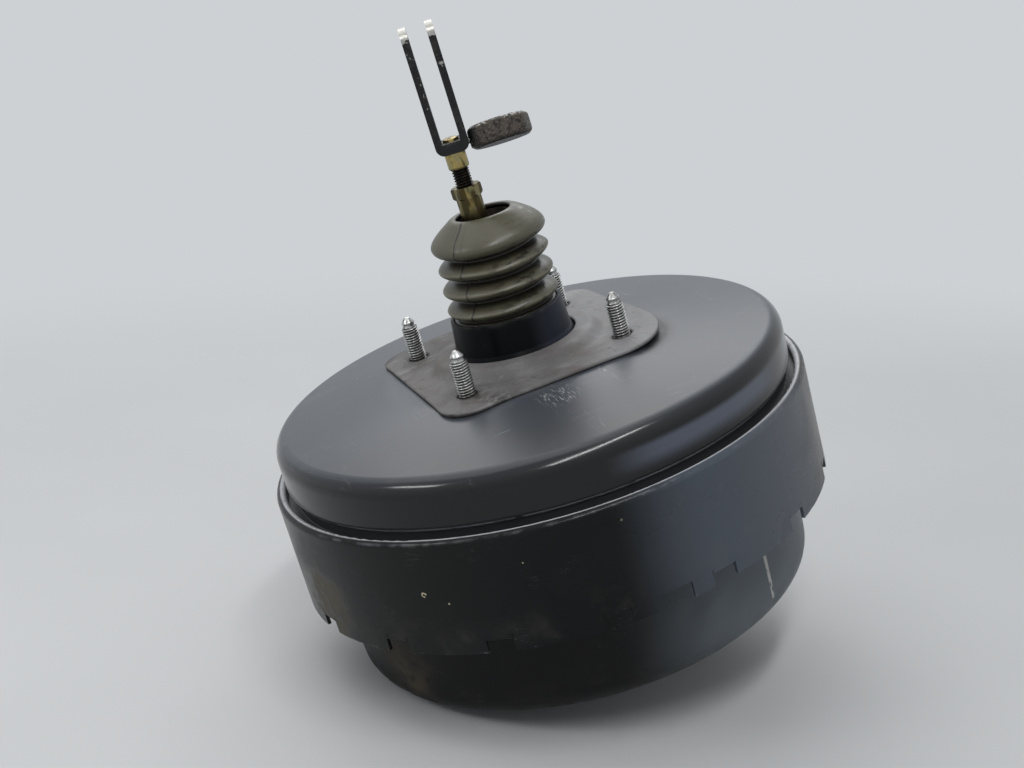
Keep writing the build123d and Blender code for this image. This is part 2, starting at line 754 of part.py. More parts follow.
def make_rod_retainer():
    """Cap pressed over the nose that keeps the output rod in its seat."""
    skin = spigot_radius + running_gap + plate_gauge
    low = spigot_low - plate_gauge
    path = [(output_rod_radius + 0.6, low), (skin, low), (skin, low + rod_retainer_height)]
    cap = pressing(path, plate_gauge, [0.3])
    holes = [place * Pos(passage_circle, 0, low) * Cylinder(passage_radius, 4 * plate_gauge)
             for place in passage_places]
    return cap - holes


def make_reaction_disc():
    """Rubber reaction disc between the valve body and the output rod."""
    return round_bar(disc_radius, disc_top - play - disc_height, disc_top - play)


rod_cup_top = disc_top - play - disc_height
rod_low = front_face - rod_overhang


def make_output_rod():
    """Output rod with a broad head behind the reaction disc and a tapped end."""
    head_low = rod_cup_top - rod_cup_height
    outline = [(0, rod_cup_top), (disc_radius, rod_cup_top), (disc_radius, head_low + 1),
               (disc_radius - 1, head_low), (output_rod_radius + 1.5, head_low),
               (output_rod_radius, head_low - 1.5), (output_rod_radius, rod_low + 0.5),
               (output_rod_radius - 0.5, rod_low), (tip_thread_radius, rod_low),
               (tip_thread_radius, rod_low + tip_drill_depth),
               (0, rod_low + tip_drill_depth + tip_thread_radius / 2)]
    return turned(outline)


def make_output_rod_tip():
    """Adjusting screw in the output rod's end: thread, hexagon and rounded nose."""
    shank = round_bar(tip_thread_radius, rod_low, rod_low + tip_thread_length)
    hexagon = Pos(0, 0, rod_low - tip_hex_height) * extrude(
        RegularPolygon(tip_hex / 2, 6, major_radius=False), tip_hex_height)
    low = rod_low - tip_hex_height - tip_length
    nose = round_bar(tip_radius, low, rod_low - tip_hex_height)
    nose = fillet(nose.edges().group_by(Axis.Z)[0], 0.6 * tip_radius)
    return shank + hexagon + nose


def make_poppet_seal():
    """Rubber control seal: flat face over both seats, thin wall and a bead under the retainer."""
    outer = tail_bore - play
    neck = outer - 1.0
    top = poppet_low + poppet_height
    bead_low = top - 5.0
    return turned([(poppet_mouth_radius, poppet_low), (neck, poppet_low), (neck, bead_low),
                   (outer, bead_low), (outer, top), (outer - 2.4, top),
                   (outer - 2.4, poppet_low + poppet_gauge),
                   (poppet_mouth_radius, poppet_low + poppet_gauge)])


def make_poppet_retainer():
    """Steel ring over the poppet's bead, with a flange for the rod's return spring."""
    top = poppet_low + poppet_height
    outer = tail_bore - running_gap
    skirt = tail_bore - play - 2.4 - running_gap
    flange_top = top + 2 * retainer_gauge
    return turned([(skirt - 0.9, top - 5.0), (skirt, top - 5.0), (skirt, top), (outer, top),
                   (outer, flange_top), (poppet_mouth_radius + 0.8, flange_top),
                   (poppet_mouth_radius + 0.8, top + retainer_gauge), (skirt - 0.9, top + retainer_gauge)])


def make_poppet_spring():
    """Small spring that presses the poppet on its seats."""
    radius = poppet_mouth_radius + 1.5
    return coil(poppet_low + poppet_gauge + 0.1, poppet_low + poppet_height + retainer_gauge - 0.1,
                radius, radius, valve_spring_wire, 4)


def make_rod_return_spring():
    """Conical spring between the poppet's retainer and the seat on the input rod."""
    top = spring_seat_reach - ball_drop - 0.5
    return coil(spring_floor + play / 2, top, rod_spring_low_radius, rod_spring_high_radius,
                rod_spring_wire, 4)


def make_air_filter():
    """Felt ring in the tail round the input rod."""
    top = tail_top - filter_drop
    return tube(spring_seat_radius, tail_bore - 0.1, top - filter_height, top)


# --- Valve plunger and input rod ---------------------------------------------------------------

def make_valve_plunger():
    """Plunger: socket for the rod's ball, atmospheric seat, key groove and reaction stem."""
    head_low = -ball_drop - plunger_head_height / 2 - 1.0
    head_top = head_low + plunger_head_height
    stem_low = disc_top + plunger_travel + plunger_end_gap - play
    groove_top = key_top + plunger_travel + play
    groove_low = key_low - play
    throat = ball_radius * 0.8
    outline = [(0, stem_low), (plunger_radius, stem_low), (plunger_radius, groove_low),
               (key_throat_radius, groove_low), (key_throat_radius, groove_top),
               (plunger_radius, groove_top), (plunger_radius, head_low), (plunger_head_radius, head_low),
               (plunger_head_radius, head_top), (throat + 2.4, head_top), (throat, head_top - 2.0),
               (0, head_top - 2.0)]
    throat_hole = round_bar(throat, -ball_drop, head_top)
    ball = Pos(0, 0, -ball_drop) * Sphere(ball_radius + running_gap)
    return turned(outline) - ball - throat_hole


rod_place = Pos(0, 0, -ball_drop) * Rot(0, 0, fork_turn) * Rot(0, -lean_angle, 0)
hex_end = rod_sleeve_end + rod_hex_height
neck_start = hex_end + thread_exposed
fork_start = neck_start + clevis_neck_height
fork_floor = fork_start + fork_base_gauge
fork_tip = fork_start + fork_length


def make_input_rod():
    """Input rod: ball, waisted neck, shank with a spring collar, sleeve and tapped hexagon."""
    ball_joint = (ball_radius ** 2 - rod_neck_radius ** 2) ** 0.5
    collar = spring_seat_reach + retainer_gauge
    outline = [(0, 0), (rod_neck_radius, 0), (rod_neck_radius, rod_neck_length - 2),
               (rod_radius, rod_neck_length), (rod_radius, collar), (rod_radius + 1.2, collar),
               (rod_radius + 1.2, collar + 1.6), (rod_radius, collar + 1.6),
               (rod_radius, sleeve_start - 1.3), (rod_sleeve_radius, sleeve_start),
               (rod_sleeve_radius, rod_sleeve_end), (0, rod_sleeve_end)]
    rod = turned(outline) + Sphere(ball_radius)
    corner = rod_hex / 2 / cos(radians(30))
    hexagon = extrude(RegularPolygon(rod_hex / 2, 6, major_radius=False), rod_hex_height)
    crown = turned([(0, 0), (corner - 0.7, 0), (corner, 0.7), (corner, rod_hex_height - 0.7),
                    (corner - 0.7, rod_hex_height), (0, rod_hex_height)])
    rod += Pos(0, 0, rod_sleeve_end) * (hexagon & crown)
    bore_depth = thread_engaged + 1.0
    rod -= round_bar(thread_radius + running_gap, hex_end - bore_depth, hex_end + 1)
    return rod_place * rod


def make_spring_seat():
    """Washer on the rod's collar that takes the return spring."""
    seat = tube(rod_radius + running_gap, spring_seat_radius, spring_seat_reach,
                spring_seat_reach + retainer_gauge)
    return rod_place * seat


def make_clevis_shank():
    """Clevis shank: thread in the rod's hexagon, plain neck, and a tenon riveted in the fork."""
    low = hex_end - thread_engaged
    head = fork_floor + 1.4
    outline = [(0, low), (thread_radius - 0.8, low), (thread_radius, low + 0.8),
               (thread_radius, neck_start), (clevis_neck_radius, neck_start + 0.6),
               (clevis_neck_radius, fork_start),
               (tenon_radius, fork_start), (tenon_radius, fork_floor), (tenon_radius + 0.7, fork_floor),
               (tenon_radius + 0.4, head), (0, head)]
    return rod_place * turned(outline)


def make_clevis_fork():
    """U-shaped strap with two thin arms, cross-drilled for the pedal pin."""
    half = fork_width / 2
    blank = Pos(0, 0, (fork_start + fork_tip) / 2) * Box(fork_width, fork_depth, fork_length)
    gap_width = fork_width - 2 * fork_arm_gauge
    gap_height = fork_tip - fork_floor
    gap = Pos(0, 0, fork_floor + gap_height / 2) * Box(gap_width, 2 * fork_depth, gap_height)
    fork = blank - gap
    base_edges = fork.edges().filter_by(Axis.Y).group_by(Axis.Z)[0]
    fork = fillet(base_edges, fork_bend)
    inner_edges = [edge for edge in fork.edges().filter_by(Axis.Y)
                   if abs(edge.center().Z - fork_floor) < 0.1 and abs(edge.center().X) < half - 1]
    fork = fillet(inner_edges, 0.5)
    tip_edges = fork.edges().filter_by(Axis.X).group_by(Axis.Z)[-1]
    fork = fillet(tip_edges, fork_tip_corner)
    cross = Pos(0, 0, fork_tip - pin_drop) * Rot(0, 90, 0) * Cylinder(pin_radius, 2 * fork_width)
    tenon_hole = Pos(0, 0, fork_start) * Cylinder(tenon_radius, 4 * fork_base_gauge)
    pin_hole = buffer_pin_place * Pos(0, 0, half) * Cylinder(buffer_pin_radius, 2 * buffer_seat)
    return rod_place * (fork - cross - tenon_hole - pin_hole)


buffer_start = fork_width / 2 + play
buffer_pin_place = Pos(0, 0, fork_start + 0.55 * fork_base_gauge) * Rot(0, 90, 0)


def make_buffer():
    """Buffer disc beside the fork, bevelled on both rims and tilted on its pin."""
    half = buffer_height / 2
    shoulder = buffer_radius - buffer_bevel
    side = half - 0.8 * buffer_bevel
    disc = turned([(0, -half), (shoulder, -half), (buffer_radius, -side), (buffer_radius, side),
                   (shoulder, half), (0, half)])
    middle = buffer_pin_place * Pos(0, 0, buffer_start + buffer_radius) * Rot(0, -90, 0)
    pin_end = fork_width / 2 - buffer_seat + buffer_pin_length
    hole = buffer_pin_place * round_bar(buffer_pin_radius, 0, pin_end + 0.5)
    return rod_place * (middle * Rot(-buffer_tilt, 0, 0) * disc - hole)


def make_buffer_pin():
    """Pin that carries the buffer in the side of the fork's base."""
    low = fork_width / 2 - buffer_seat
    return rod_place * buffer_pin_place * round_bar(buffer_pin_radius, low, low + buffer_pin_length)


# --- Every piece, one file each ----------------------------------------------------------------

pieces = {
    "rear_shell": make_rear_shell,
    "stud_plate": make_stud_plate,
    "mounting_studs": make_mounting_studs,
    "neck_sleeve": make_neck_sleeve,
    "mounting_gasket": make_mounting_gasket,
    "rear_bearing": make_rear_bearing,
    "rear_seal": make_rear_seal,
    "rear_seal_retainer": make_rear_seal_retainer,
    "dust_boot": make_dust_boot,
    "outer_band": make_outer_band,
    "centre_plate": make_centre_plate,
    "centre_seal": make_centre_seal,
    "centre_seal_retainer": make_centre_seal_retainer,
    "front_shell": make_front_shell,
    "front_stiffener": make_front_stiffener,
    "cylinder_studs": make_cylinder_studs,
    "front_rod_seal": make_front_rod_seal,
    "return_spring": make_return_spring,
    "valve_grommet": make_valve_grommet,
    "check_valve_body": make_check_valve_body,
    "check_disc": make_check_disc,
    "check_spring": make_check_spring,
    "valve_body": make_valve_body,
    "stop_key": make_stop_key,
    "rear_plate": make_rear_plate,
    "front_plate": make_front_plate,
    "rear_diaphragm": make_rear_diaphragm,
    "front_diaphragm": make_front_diaphragm,
    "plate_lock_ring": make_plate_lock_ring,
    "rod_retainer": make_rod_retainer,
    "reaction_disc": make_reaction_disc,
    "output_rod": make_output_rod,
    "output_rod_tip": make_output_rod_tip,
    "poppet_seal": make_poppet_seal,
    "poppet_retainer": make_poppet_retainer,
    "poppet_spring": make_poppet_spring,
    "rod_return_spring": make_rod_return_spring,
    "air_filter": make_air_filter,
    "valve_plunger": make_valve_plunger,
    "input_rod": make_input_rod,
    "spring_seat": make_spring_seat,
    "clevis_shank": make_clevis_shank,
    "clevis_fork": make_clevis_fork,
    "buffer": make_buffer,
    "buffer_pin": make_buffer_pin,
}

for name, make in pieces.items():
    made = make()
    solids = made if isinstance(made, list) else [made]
    shape = Compound(children=[Compound(piece.solids()) for piece in solids])
    export_step(shape if len(shape.solids()) > 1 else shape.solids()[0], f"parts/{name}.step")
    print(name, len(shape.solids()), round(shape.volume))
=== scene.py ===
import bmesh
import bpy
import numpy as np
from mathutils import Matrix, Vector


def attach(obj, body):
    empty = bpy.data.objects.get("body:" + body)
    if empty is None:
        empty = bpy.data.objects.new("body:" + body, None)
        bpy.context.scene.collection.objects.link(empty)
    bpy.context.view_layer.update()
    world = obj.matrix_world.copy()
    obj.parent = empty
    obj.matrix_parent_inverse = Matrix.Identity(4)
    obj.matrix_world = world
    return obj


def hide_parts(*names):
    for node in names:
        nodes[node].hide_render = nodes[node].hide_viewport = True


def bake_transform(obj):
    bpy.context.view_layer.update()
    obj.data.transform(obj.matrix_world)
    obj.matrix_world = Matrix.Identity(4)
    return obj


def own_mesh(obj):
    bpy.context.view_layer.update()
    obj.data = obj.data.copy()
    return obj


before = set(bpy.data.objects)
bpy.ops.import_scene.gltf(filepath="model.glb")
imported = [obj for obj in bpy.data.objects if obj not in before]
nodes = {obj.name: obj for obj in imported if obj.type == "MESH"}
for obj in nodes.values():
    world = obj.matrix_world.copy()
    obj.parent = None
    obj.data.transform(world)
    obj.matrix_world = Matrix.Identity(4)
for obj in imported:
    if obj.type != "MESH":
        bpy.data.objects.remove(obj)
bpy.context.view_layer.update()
mm = 0.001


# --- Rear shell ------------------------------------------------------------------------------
# Deep-drawn steel dish, 1.8 mm thick, with a flat mounting pad, a shallow cone and a rolled
# shoulder. It is stove-enamelled black, scuffed on its face and dulled by dust and old grease.

def paint(red, green, blue):
    """A colour from its 0 to 255 screen values, as the linear values that a shader takes."""
    shares = np.array([red, green, blue]) / 255
    linear = np.where(shares > 0.04045, ((shares + 0.055) / 1.055) ** 2.4, shares / 12.92)
    return (*map(float, linear), 1.0)


class Finish:
    """A node material laid down in layers. Each call adds a node and returns the socket with its result.
    Every length is in millimetres, measured in the piece's own Object coordinates."""

    def __init__(self, name, metal=0.0, gloss=0.5, **fixed):
        self.material = bpy.data.materials.new(name)
        self.material.use_nodes = True
        self.tree = self.material.node_tree
        self.shader = self.tree.nodes["Principled BSDF"]
        self.shader.inputs["Metallic"].default_value = metal
        self.shader.inputs["Specular IOR Level"].default_value = gloss
        for socket, value in fixed.items():
            self.shader.inputs[socket.replace("_", " ")].default_value = value
        where = self.tree.nodes.new("ShaderNodeTexCoord").outputs["Object"]
        self.place = self.vector("SCALE", where, Scale=1000.0)
        apart = self.node("SeparateXYZ", {}, [self.place])
        self.x, self.y, self.z = apart.outputs
        self.radius = self.sums("SQRT", self.sums("ADD", self.sums("MULTIPLY", self.x, self.x),
                                                  self.sums("MULTIPLY", self.y, self.y)))

    def node(self, kind, settings, values, **named):
        """One node with its settings, and each socket joined to a result or given a number."""
        node = self.tree.nodes.new("ShaderNode" + kind)
        for key, value in settings.items():
            setattr(node, key, value)
        pairs = [(node.inputs[i], value) for i, value in enumerate(values) if value is not None]
        pairs += [(node.inputs[key.replace("_", " ")], value) for key, value in named.items()]
        for socket, value in pairs:
            if isinstance(value, bpy.types.NodeSocket):
                self.tree.links.new(value, socket)
            else:
                socket.default_value = value
        return node

    def sums(self, kind, *values):
        return self.node("Math", {"operation": kind}, values).outputs[0]

    def vector(self, kind, *values, **named):
        made = self.node("VectorMath", {"operation": kind}, values, **named)
        return made.outputs["Value" if kind in ("LENGTH", "DISTANCE", "DOT_PRODUCT") else "Vector"]

    def cloud(self, size, detail=3.0, stretch=(1, 1, 1), turn=(0, 0, 0), shift=(0, 0, 0)):
        """Soft noise with blotches about size across, drawn out along the axes by stretch."""
        place = self.node("Mapping", {}, [self.place], Location=shift, Rotation=turn,
                          Scale=tuple(1 / (size * way) for way in stretch)).outputs[0]
        return self.node("TexNoise", {}, [place], Scale=1.0, Detail=detail, Roughness=0.55).outputs[0]

    def grains(self, size, kind="F1"):
        """Distance to the nearest grain, for grains about size apart."""
        return self.node("TexVoronoi", {"feature": kind}, [self.place], Scale=1 / size).outputs["Distance"]

    def share(self, value, low, high):
        """Smooth step from 0 at low to 1 at high, or the other way when low is above high."""
        return self.node("MapRange", {"interpolation_type": "SMOOTHSTEP"}, [value, low, high]).outputs[0]

    def rise(self, low, high):
        """Smooth step of the height, from 0 at low to 1 at high."""
        return self.share(self.z, low, high)

    def patches(self, low, high, *noise, **ways):
        """Blotches of soft noise, from 0 where it is at low to 1 where it is at high."""
        return self.share(self.cloud(*noise, **ways), low, high)

    def along(self, way):
        """Distance from the origin, measured along a direction."""
        return self.vector("DOT_PRODUCT", self.place, tuple(map(float, way)))

    def facing(self, way, low, high):
        """Share of the piece that lies further out in one direction than low, whole from high on."""
        return self.share(self.along(way), low, high)

    def apart(self, point):
        """Distance to a point."""
        return self.vector("DISTANCE", self.place, tuple(map(float, point)))

    def from_line(self, x, y):
        """Distance to the line along Z through (x, y)."""
        return self.vector("DISTANCE", self.vector("MULTIPLY", self.place, (1, 1, 0)), (x, y, 0))

    def ragged(self, value, reach, *noise):
        """A value with soft noise added, so that its edges come out ragged."""
        return self.sums("ADD", value, self.sums("MULTIPLY", self.cloud(*noise), reach))

    def both(self, *shares):
        """Product of several shares."""
        result = shares[0]
        for other in shares[1:]:
            result = self.sums("MULTIPLY", result, other)
        return result

    def either(self, *shares):
        """Largest of several shares."""
        result = shares[0]
        for other in shares[1:]:
            result = self.sums("MAXIMUM", result, other)
        return result

    def near(self, point, reach, soft=0.6):
        """1 round a point, falling to 0 at reach."""
        return self.share(self.apart(point), reach, reach * (1 - soft))

    def spots(self, soft, *places):
        """Several spots, each given as its point and its reach."""
        return self.either(*[self.near(place[:3], place[3], soft) for place in places])

    def hairlines(self, size, stretch, width=0.006, turn=(0, 0, 0), shift=(0, 0, 0)):
        """Fine scratches: the thin level line of a noise drawn out along one axis."""
        noise = self.cloud(size, 1.0, stretch, turn, shift)
        return self.share(self.sums("ABSOLUTE", self.sums("SUBTRACT", noise, 0.5)), width, 0.0)

    def layer(self, share, below, above):
        """Colour above laid over colour below by share."""
        mix = self.node("Mix", {"data_type": "RGBA"}, [])
        for index, value in ((0, share), (6, below), (7, above)):
            if isinstance(value, bpy.types.NodeSocket):
                self.tree.links.new(value, mix.inputs[index])
            else:
                mix.inputs[index].default_value = value
        return mix.outputs[2]

    def level(self, share, below, above):
        """Number between below and above by share."""
        return self.node("Mix", {"data_type": "FLOAT"}, [share, None, below, above]).outputs[0]

    def relief(self, height, depth, over=None):
        """Bump of the given depth in millimetres, over an earlier bump."""
        named = {} if over is None else {"Normal": over}
        return self.node("Bump", {}, [], Strength=1.0, Distance=depth * mm, Height=height, **named).outputs[0]

    def grain(self, depth, *noise, over=None):
        """Bump of soft noise, over an earlier bump."""
        return self.relief(self.cloud(*noise), depth, over)

    def ground(self, share, below, above):
        """First colour: one paint over another by share."""
        self.colour = self.layer(share, paint(*below), paint(*above))

    def coat(self, share, strength, *screen):
        """One more coat of paint over the colour so far, by share times strength."""
        part = share if strength == 1 else self.both(share, strength)
        self.colour = self.layer(part, self.colour, paint(*screen))

    def lay(self, roughness, relief=None, metal=None):
        """Joins the colour and the finished layers to the shader."""
        layers = {"Base Color": self.colour, "Roughness": roughness, "Normal": relief, "Metallic": metal}
        for socket, value in layers.items():
            if value is not None:
                self.tree.links.new(value, self.shader.inputs[socket])
        return self.material


def wear(material, *names):
    """Gives CAD nodes their finish, in every material place of their mesh."""
    for name in names:
        mesh = nodes[name].data
        if not mesh.materials:
            mesh.materials.append(material)
        for index in range(len(mesh.materials)):
            mesh.materials[index] = material


def rear_shell_enamel():
    """Black enamel: orange peel, a dust film on the cone tinted as painted sheen and thinned on the front as
    painted shade, smears, hairlines, scuffs, pale specks, a painted shadow at the gasket's corner, painted
    shade on the side wall, a painted reflection, a painted highlight on the lip and painted light in the
    groove.
    """
    enamel = Finish("rear_shell_enamel", gloss=0.42)
    blotches = enamel.cloud(60.0, 3.0)
    top = enamel.rise(-9.4, -7.9)
    front = enamel.facing((-0.40, -0.92, 0), 45.0, 110.0)
    film = enamel.both(top, enamel.level(enamel.cloud(46.0, 4.0), 0.65, 1.0))
    smears = enamel.both(top, enamel.patches(0.55, 0.75, 21.0, 5.0, (2.6, 1.0, 1.0), (0, 0, 0.6)))
    lines = enamel.both(enamel.either(enamel.hairlines(12.0, (14, 0.35, 1), 0.007, (0, 0, 0.5)),
                                      enamel.hairlines(9.0, (0.4, 12, 1), 0.007, (0, 0, -0.25))),
                        enamel.patches(0.55, 0.66, 22.0, 2.0, shift=(4, 1, 0)))
    lip = enamel.both(enamel.rise(-28.3, -28.8), enamel.rise(-30.0, -29.4),
                      enamel.patches(0.20, 0.50, 9.0, 4.0))
    specks = enamel.both(enamel.share(enamel.grains(6.5), 0.10, 0.06),
                         enamel.patches(0.58, 0.70, 30.0, 3.0, shift=(9, 2, 5)),
                         top)
    scrapes = enamel.patches(0.54, 0.64, 1.5, 4.0, (0.5, 2.6, 1), (0, 0, 0.45))
    scuff = enamel.both(enamel.spots(0.8, (-8.7, -72.0, -2.0, 12.0), (16.5, -63.5, -1.0, 5.0)), scrapes)
    corner = enamel.from_line(29.0, -31.0)
    painted_gasket_shadow = enamel.both(enamel.share(corner, 36.5, 29.5), enamel.share(enamel.x, 26.0, 44.0),
                       enamel.share(enamel.y, -8.0, -20.0),
                       enamel.patches(0.22, 0.46, 6.0, 4.0))
    side = enamel.rise(-9.0, -14.0)
    painted_sheen = enamel.both(enamel.rise(-27.0, -20.0), enamel.rise(-14.0, -17.0),
                        enamel.facing((0.34, -0.94, 0), 108.0, 119.0))
    groove = enamel.both(enamel.rise(-29.6, -30.6), enamel.share(enamel.radius, 112.0, 114.0))
    enamel.ground(blotches, (28, 30, 33), (38, 40, 44))
    # Dust film on the cone, tinted blue-grey as a painted sheen, and thinned on the front as painted shade.
    enamel.coat(enamel.both(film, enamel.level(front, 0.34, 0.12)), 1, 108, 114, 124)
    enamel.coat(smears, 0.10, 142, 140, 138)
    enamel.coat(lines, 0.30, 150, 152, 156)
    enamel.coat(scuff, 0.55, 172, 172, 170)
    enamel.coat(specks, 0.8, 196, 196, 192)
    # Painted shadow: a dark crescent on the cone under the lifted corner of the gasket.
    enamel.coat(painted_gasket_shadow, 0.9, 14, 14, 15)
    # Painted shade: the side wall below the shoulder near black.
    enamel.coat(side, 1, 7, 8, 9)
    # Painted reflection: a blue-grey band on the front-right of the side wall.
    enamel.coat(painted_sheen, 0.45, 112, 120, 138)
    # Painted light: mid grey in the groove above the band, lifting it out of its shade.
    enamel.coat(groove, 0.9, 62, 63, 66)
    # Painted highlight: a pale line along the lower lip of the side wall.
    enamel.coat(lip, 0.75, 124, 127, 132)
    roughness = enamel.level(enamel.either(enamel.both(film, 0.8), smears, groove, painted_gasket_shadow), 0.16, 0.44)
    peel = enamel.grain(0.006, 1.6, 1.0)
    dents = enamel.grain(0.30, 42.0, 1.0, over=peel)
    return enamel.lay(roughness, enamel.relief(enamel.either(scuff, specks), 0.03, dents))


wear(rear_shell_enamel(), "rear_shell")


# --- Stud plate and mounting studs -----------------------------------------------------------
# Four zinc-plated M8 steel studs with rolled threads and dog points. They are pressed into a
# thick rounded plate inside the shell and stand out of the mounting face.

stud_reach = 38.0
stud_head, stud_knurl, stud_core, stud_dog = 6.5, 4.4, 4.0, 3.0
stud_pitch, stud_thread = 1.25, 0.72


def grid_mesh(name, *grids, wrap_rows=False, smooth=35.0):
    """Mesh over grids of points[row, column] in millimetres. Each grid is wrapped round its columns, and
    round its rows too if asked, with one quad between each four neighbours. A row that has shrunk to one
    point becomes a pole. Coincident points are merged, faces are turned outwards and shading is soft up to
    the smooth angle."""
    faces, offset = [], 0
    for grid in grids:
        rows, columns = grid.shape[:2]
        index = np.arange(rows * columns).reshape(rows, columns) + offset
        if wrap_rows:
            index = np.vstack([index, index[:1]])
        index = np.hstack([index, index[:, :1]])
        quads = [index[:-1, :-1], index[:-1, 1:], index[1:, 1:], index[1:, :-1]]
        faces.append(np.stack(quads, -1).reshape(-1, 4))
        offset += rows * columns
    points = np.concatenate([grid.reshape(-1, 3) for grid in grids])
    mesh = bpy.data.meshes.new(name)
    mesh.from_pydata((points * mm).tolist(), [], np.concatenate(faces).tolist())
    work = bmesh.new()
    work.from_mesh(mesh)
    bmesh.ops.remove_doubles(work, verts=work.verts, dist=1e-6)
    bmesh.ops.recalc_face_normals(work, faces=work.faces)
    work.to_mesh(mesh)
    work.free()
    mesh.polygons.foreach_set("use_smooth", [True] * len(mesh.polygons))
    mesh.set_sharp_from_angle(angle=np.radians(smooth))
    piece = bpy.data.objects.new(name, mesh)
    bpy.context.scene.collection.objects.link(piece)
    return piece


def threaded_bar(outline, thread_low, thread_high, depth, pitch, sides=40):
    """Bar about Z turned from (height, radius) points. Between the thread's ends its radius is that of the
    bar less depth times a wave of (height / pitch - angle / turn) with narrow crests, faded out over half
    a pitch."""
    heights, radii = np.array(outline).T
    steps = np.arange(thread_low, thread_high, pitch / 11)
    level = np.sort(np.concatenate([heights, steps]))
    plain = np.interp(level, heights, radii)
    ends = np.flatnonzero(np.diff(heights) == 0)
    for end in ends:
        at = np.flatnonzero(level == heights[end])
        plain[at[:2]] = radii[end], radii[end + 1]
    turn = np.linspace(0, 2 * np.pi, sides, endpoint=False)
    phase = np.mod(level[:, None] / pitch - turn[None, :] / (2 * np.pi), 1.0)
    groove = np.clip((0.5 - np.abs(phase - 0.5)) * 2.6 - 0.22, 0.0, 1.0)
    fade = np.clip(np.minimum(level - thread_low, thread_high - level) / (0.5 * pitch), 0, 1)[:, None]
    radius = plain[:, None] - depth * groove * fade
    return np.stack([radius * np.cos(turn), radius * np.sin(turn), np.repeat(level[:, None], sides, 1)], -1)


def stud_points(low, face, tip):
    """Stud with its head below low, a knurl up to face, then the thread and the dog point up to tip."""
    outline = [(low - 3.5, 0.0), (low - 3.5, stud_head - 0.5), (low - 3.0, stud_head), (low, stud_head),
               (low, stud_knurl), (face, stud_knurl), (face, stud_core), (tip - 5.6, stud_core),
               (tip - 4.9, stud_core - 0.6), (tip - 4.4, stud_dog - 0.25), (tip - 3.5, stud_dog - 0.3),
               (tip - 3.1, stud_dog + 0.05), (tip - 2.7, stud_dog + 0.1), (tip - 2.3, stud_dog - 0.1),
               (tip - 0.7, stud_dog - 1.35), (tip - 0.2, stud_dog - 1.8), (tip, stud_dog - 2.3), (tip, 0.0)]
    return threaded_bar(outline, face + 0.6, tip - 4.6, stud_thread, stud_pitch)


def stud_zinc():
    """Bright zinc: brushed tint, oily grime in the thread's foot, dull oxide blooms."""
    zinc = Finish("stud_zinc", metal=1.0)
    bloom = zinc.patches(0.45, 0.70, 3.2, 5.0)
    grime = zinc.patches(0.50, 0.70, 2.1, 5.0, shift=(3, 7, 1))
    foot = zinc.both(zinc.rise(6.0, 1.5), 0.75)
    folded = zinc.vector("ABSOLUTE", zinc.vector("MULTIPLY", zinc.place, (1, 1, 0)))
    from_axis = zinc.vector("DISTANCE", folded, (stud_reach, stud_reach, 0))
    root = zinc.both(zinc.share(from_axis, 3.80, 3.42), zinc.rise(18.4, 17.6))
    zinc.ground(bloom, (196, 196, 194), (152, 152, 150))
    zinc.coat(zinc.either(zinc.both(grime, 0.5), foot), 1, 66, 62, 56)
    zinc.coat(root, 0.8, 60, 58, 56)
    roughness = zinc.level(zinc.either(bloom, grime), 0.34, 0.54)
    return zinc.lay(roughness, zinc.grain(0.03, 0.5, 4.0))


def fit(piece, node, body, material):
    """Gives a drawn piece its finish and fits it to its body, in the place of a CAD node."""
    piece.data.materials.append(material)
    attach(piece, body)
    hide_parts(node)


corners = [(sx * stud_reach, sy * stud_reach, 0) for sx in (-1, 1) for sy in (-1, 1)]
studs = [stud_points(low=-4.8, face=0.0, tip=22.7) + corner for corner in corners]
fit(grid_mesh("threaded_mounting_studs", *studs), "mounting_studs", "housing", stud_zinc())


def inner_steel():
    """Plain pressed steel under an oil film, with rolling marks and light rust spots."""
    steel = Finish("inner_steel", metal=1.0)
    rolling = steel.cloud(1.2, 3.0, (14, 1, 1))
    rust = steel.patches(0.60, 0.74, 6.0, 5.0)
    steel.ground(rolling, (120, 118, 114), (158, 156, 152))
    steel.coat(rust, 0.6, 112, 78, 54)
    return steel.lay(steel.level(rust, 0.34, 0.62), steel.relief(rolling, 0.02))


pressed_steel = inner_steel()
wear(pressed_steel, "stud_plate")


# --- Neck sleeve -----------------------------------------------------------------------------
# Smooth tube with a flared foot and a flange, pressed on to the mounting face. It is glossy
# black and shows the light as one soft streak, strengthened by a painted highlight, with dust where the boot
# meets it.

def neck_enamel():
    """Glossy black with a dusty rim and foot, a few fine rubbed lines and a painted highlight on the right.
    """
    enamel = Finish("neck_enamel", gloss=0.10)
    dust = enamel.both(enamel.either(enamel.rise(20.0, 22.4), enamel.rise(6.0, 2.0)),
                       enamel.patches(0.30, 0.70, 5.0, 5.0))
    rubs = enamel.both(enamel.hairlines(6.0, (1, 1, 0.15), 0.010), enamel.patches(0.54, 0.66, 9.0, 2.0))
    painted_sheen = enamel.facing((0.80, -0.60, 0), 15.0, 25.5)
    enamel.ground(enamel.cloud(16.0, 3.0), (3, 4, 5), (8, 10, 12))
    # Painted highlight: a blue-grey streak on the right side of the sleeve.
    enamel.coat(painted_sheen, 0.18, 92, 98, 116)
    enamel.coat(dust, 0.14, 104, 104, 100)
    enamel.coat(rubs, 0.20, 90, 94, 100)
    roughness = enamel.level(enamel.either(dust, rubs), 0.30, 0.54)
    return enamel.lay(roughness, enamel.grain(0.02, 5.0, 1.0))


wear(neck_enamel(), "neck_sleeve")


# --- Mounting gasket -------------------------------------------------------------------------
# Pressed fibre sheet, 1.6 mm thick, that seals the booster to the bulkhead. A ring is formed up
# over the neck's flange. It is old and dry: limp at one end, and standing off the cone at the other.

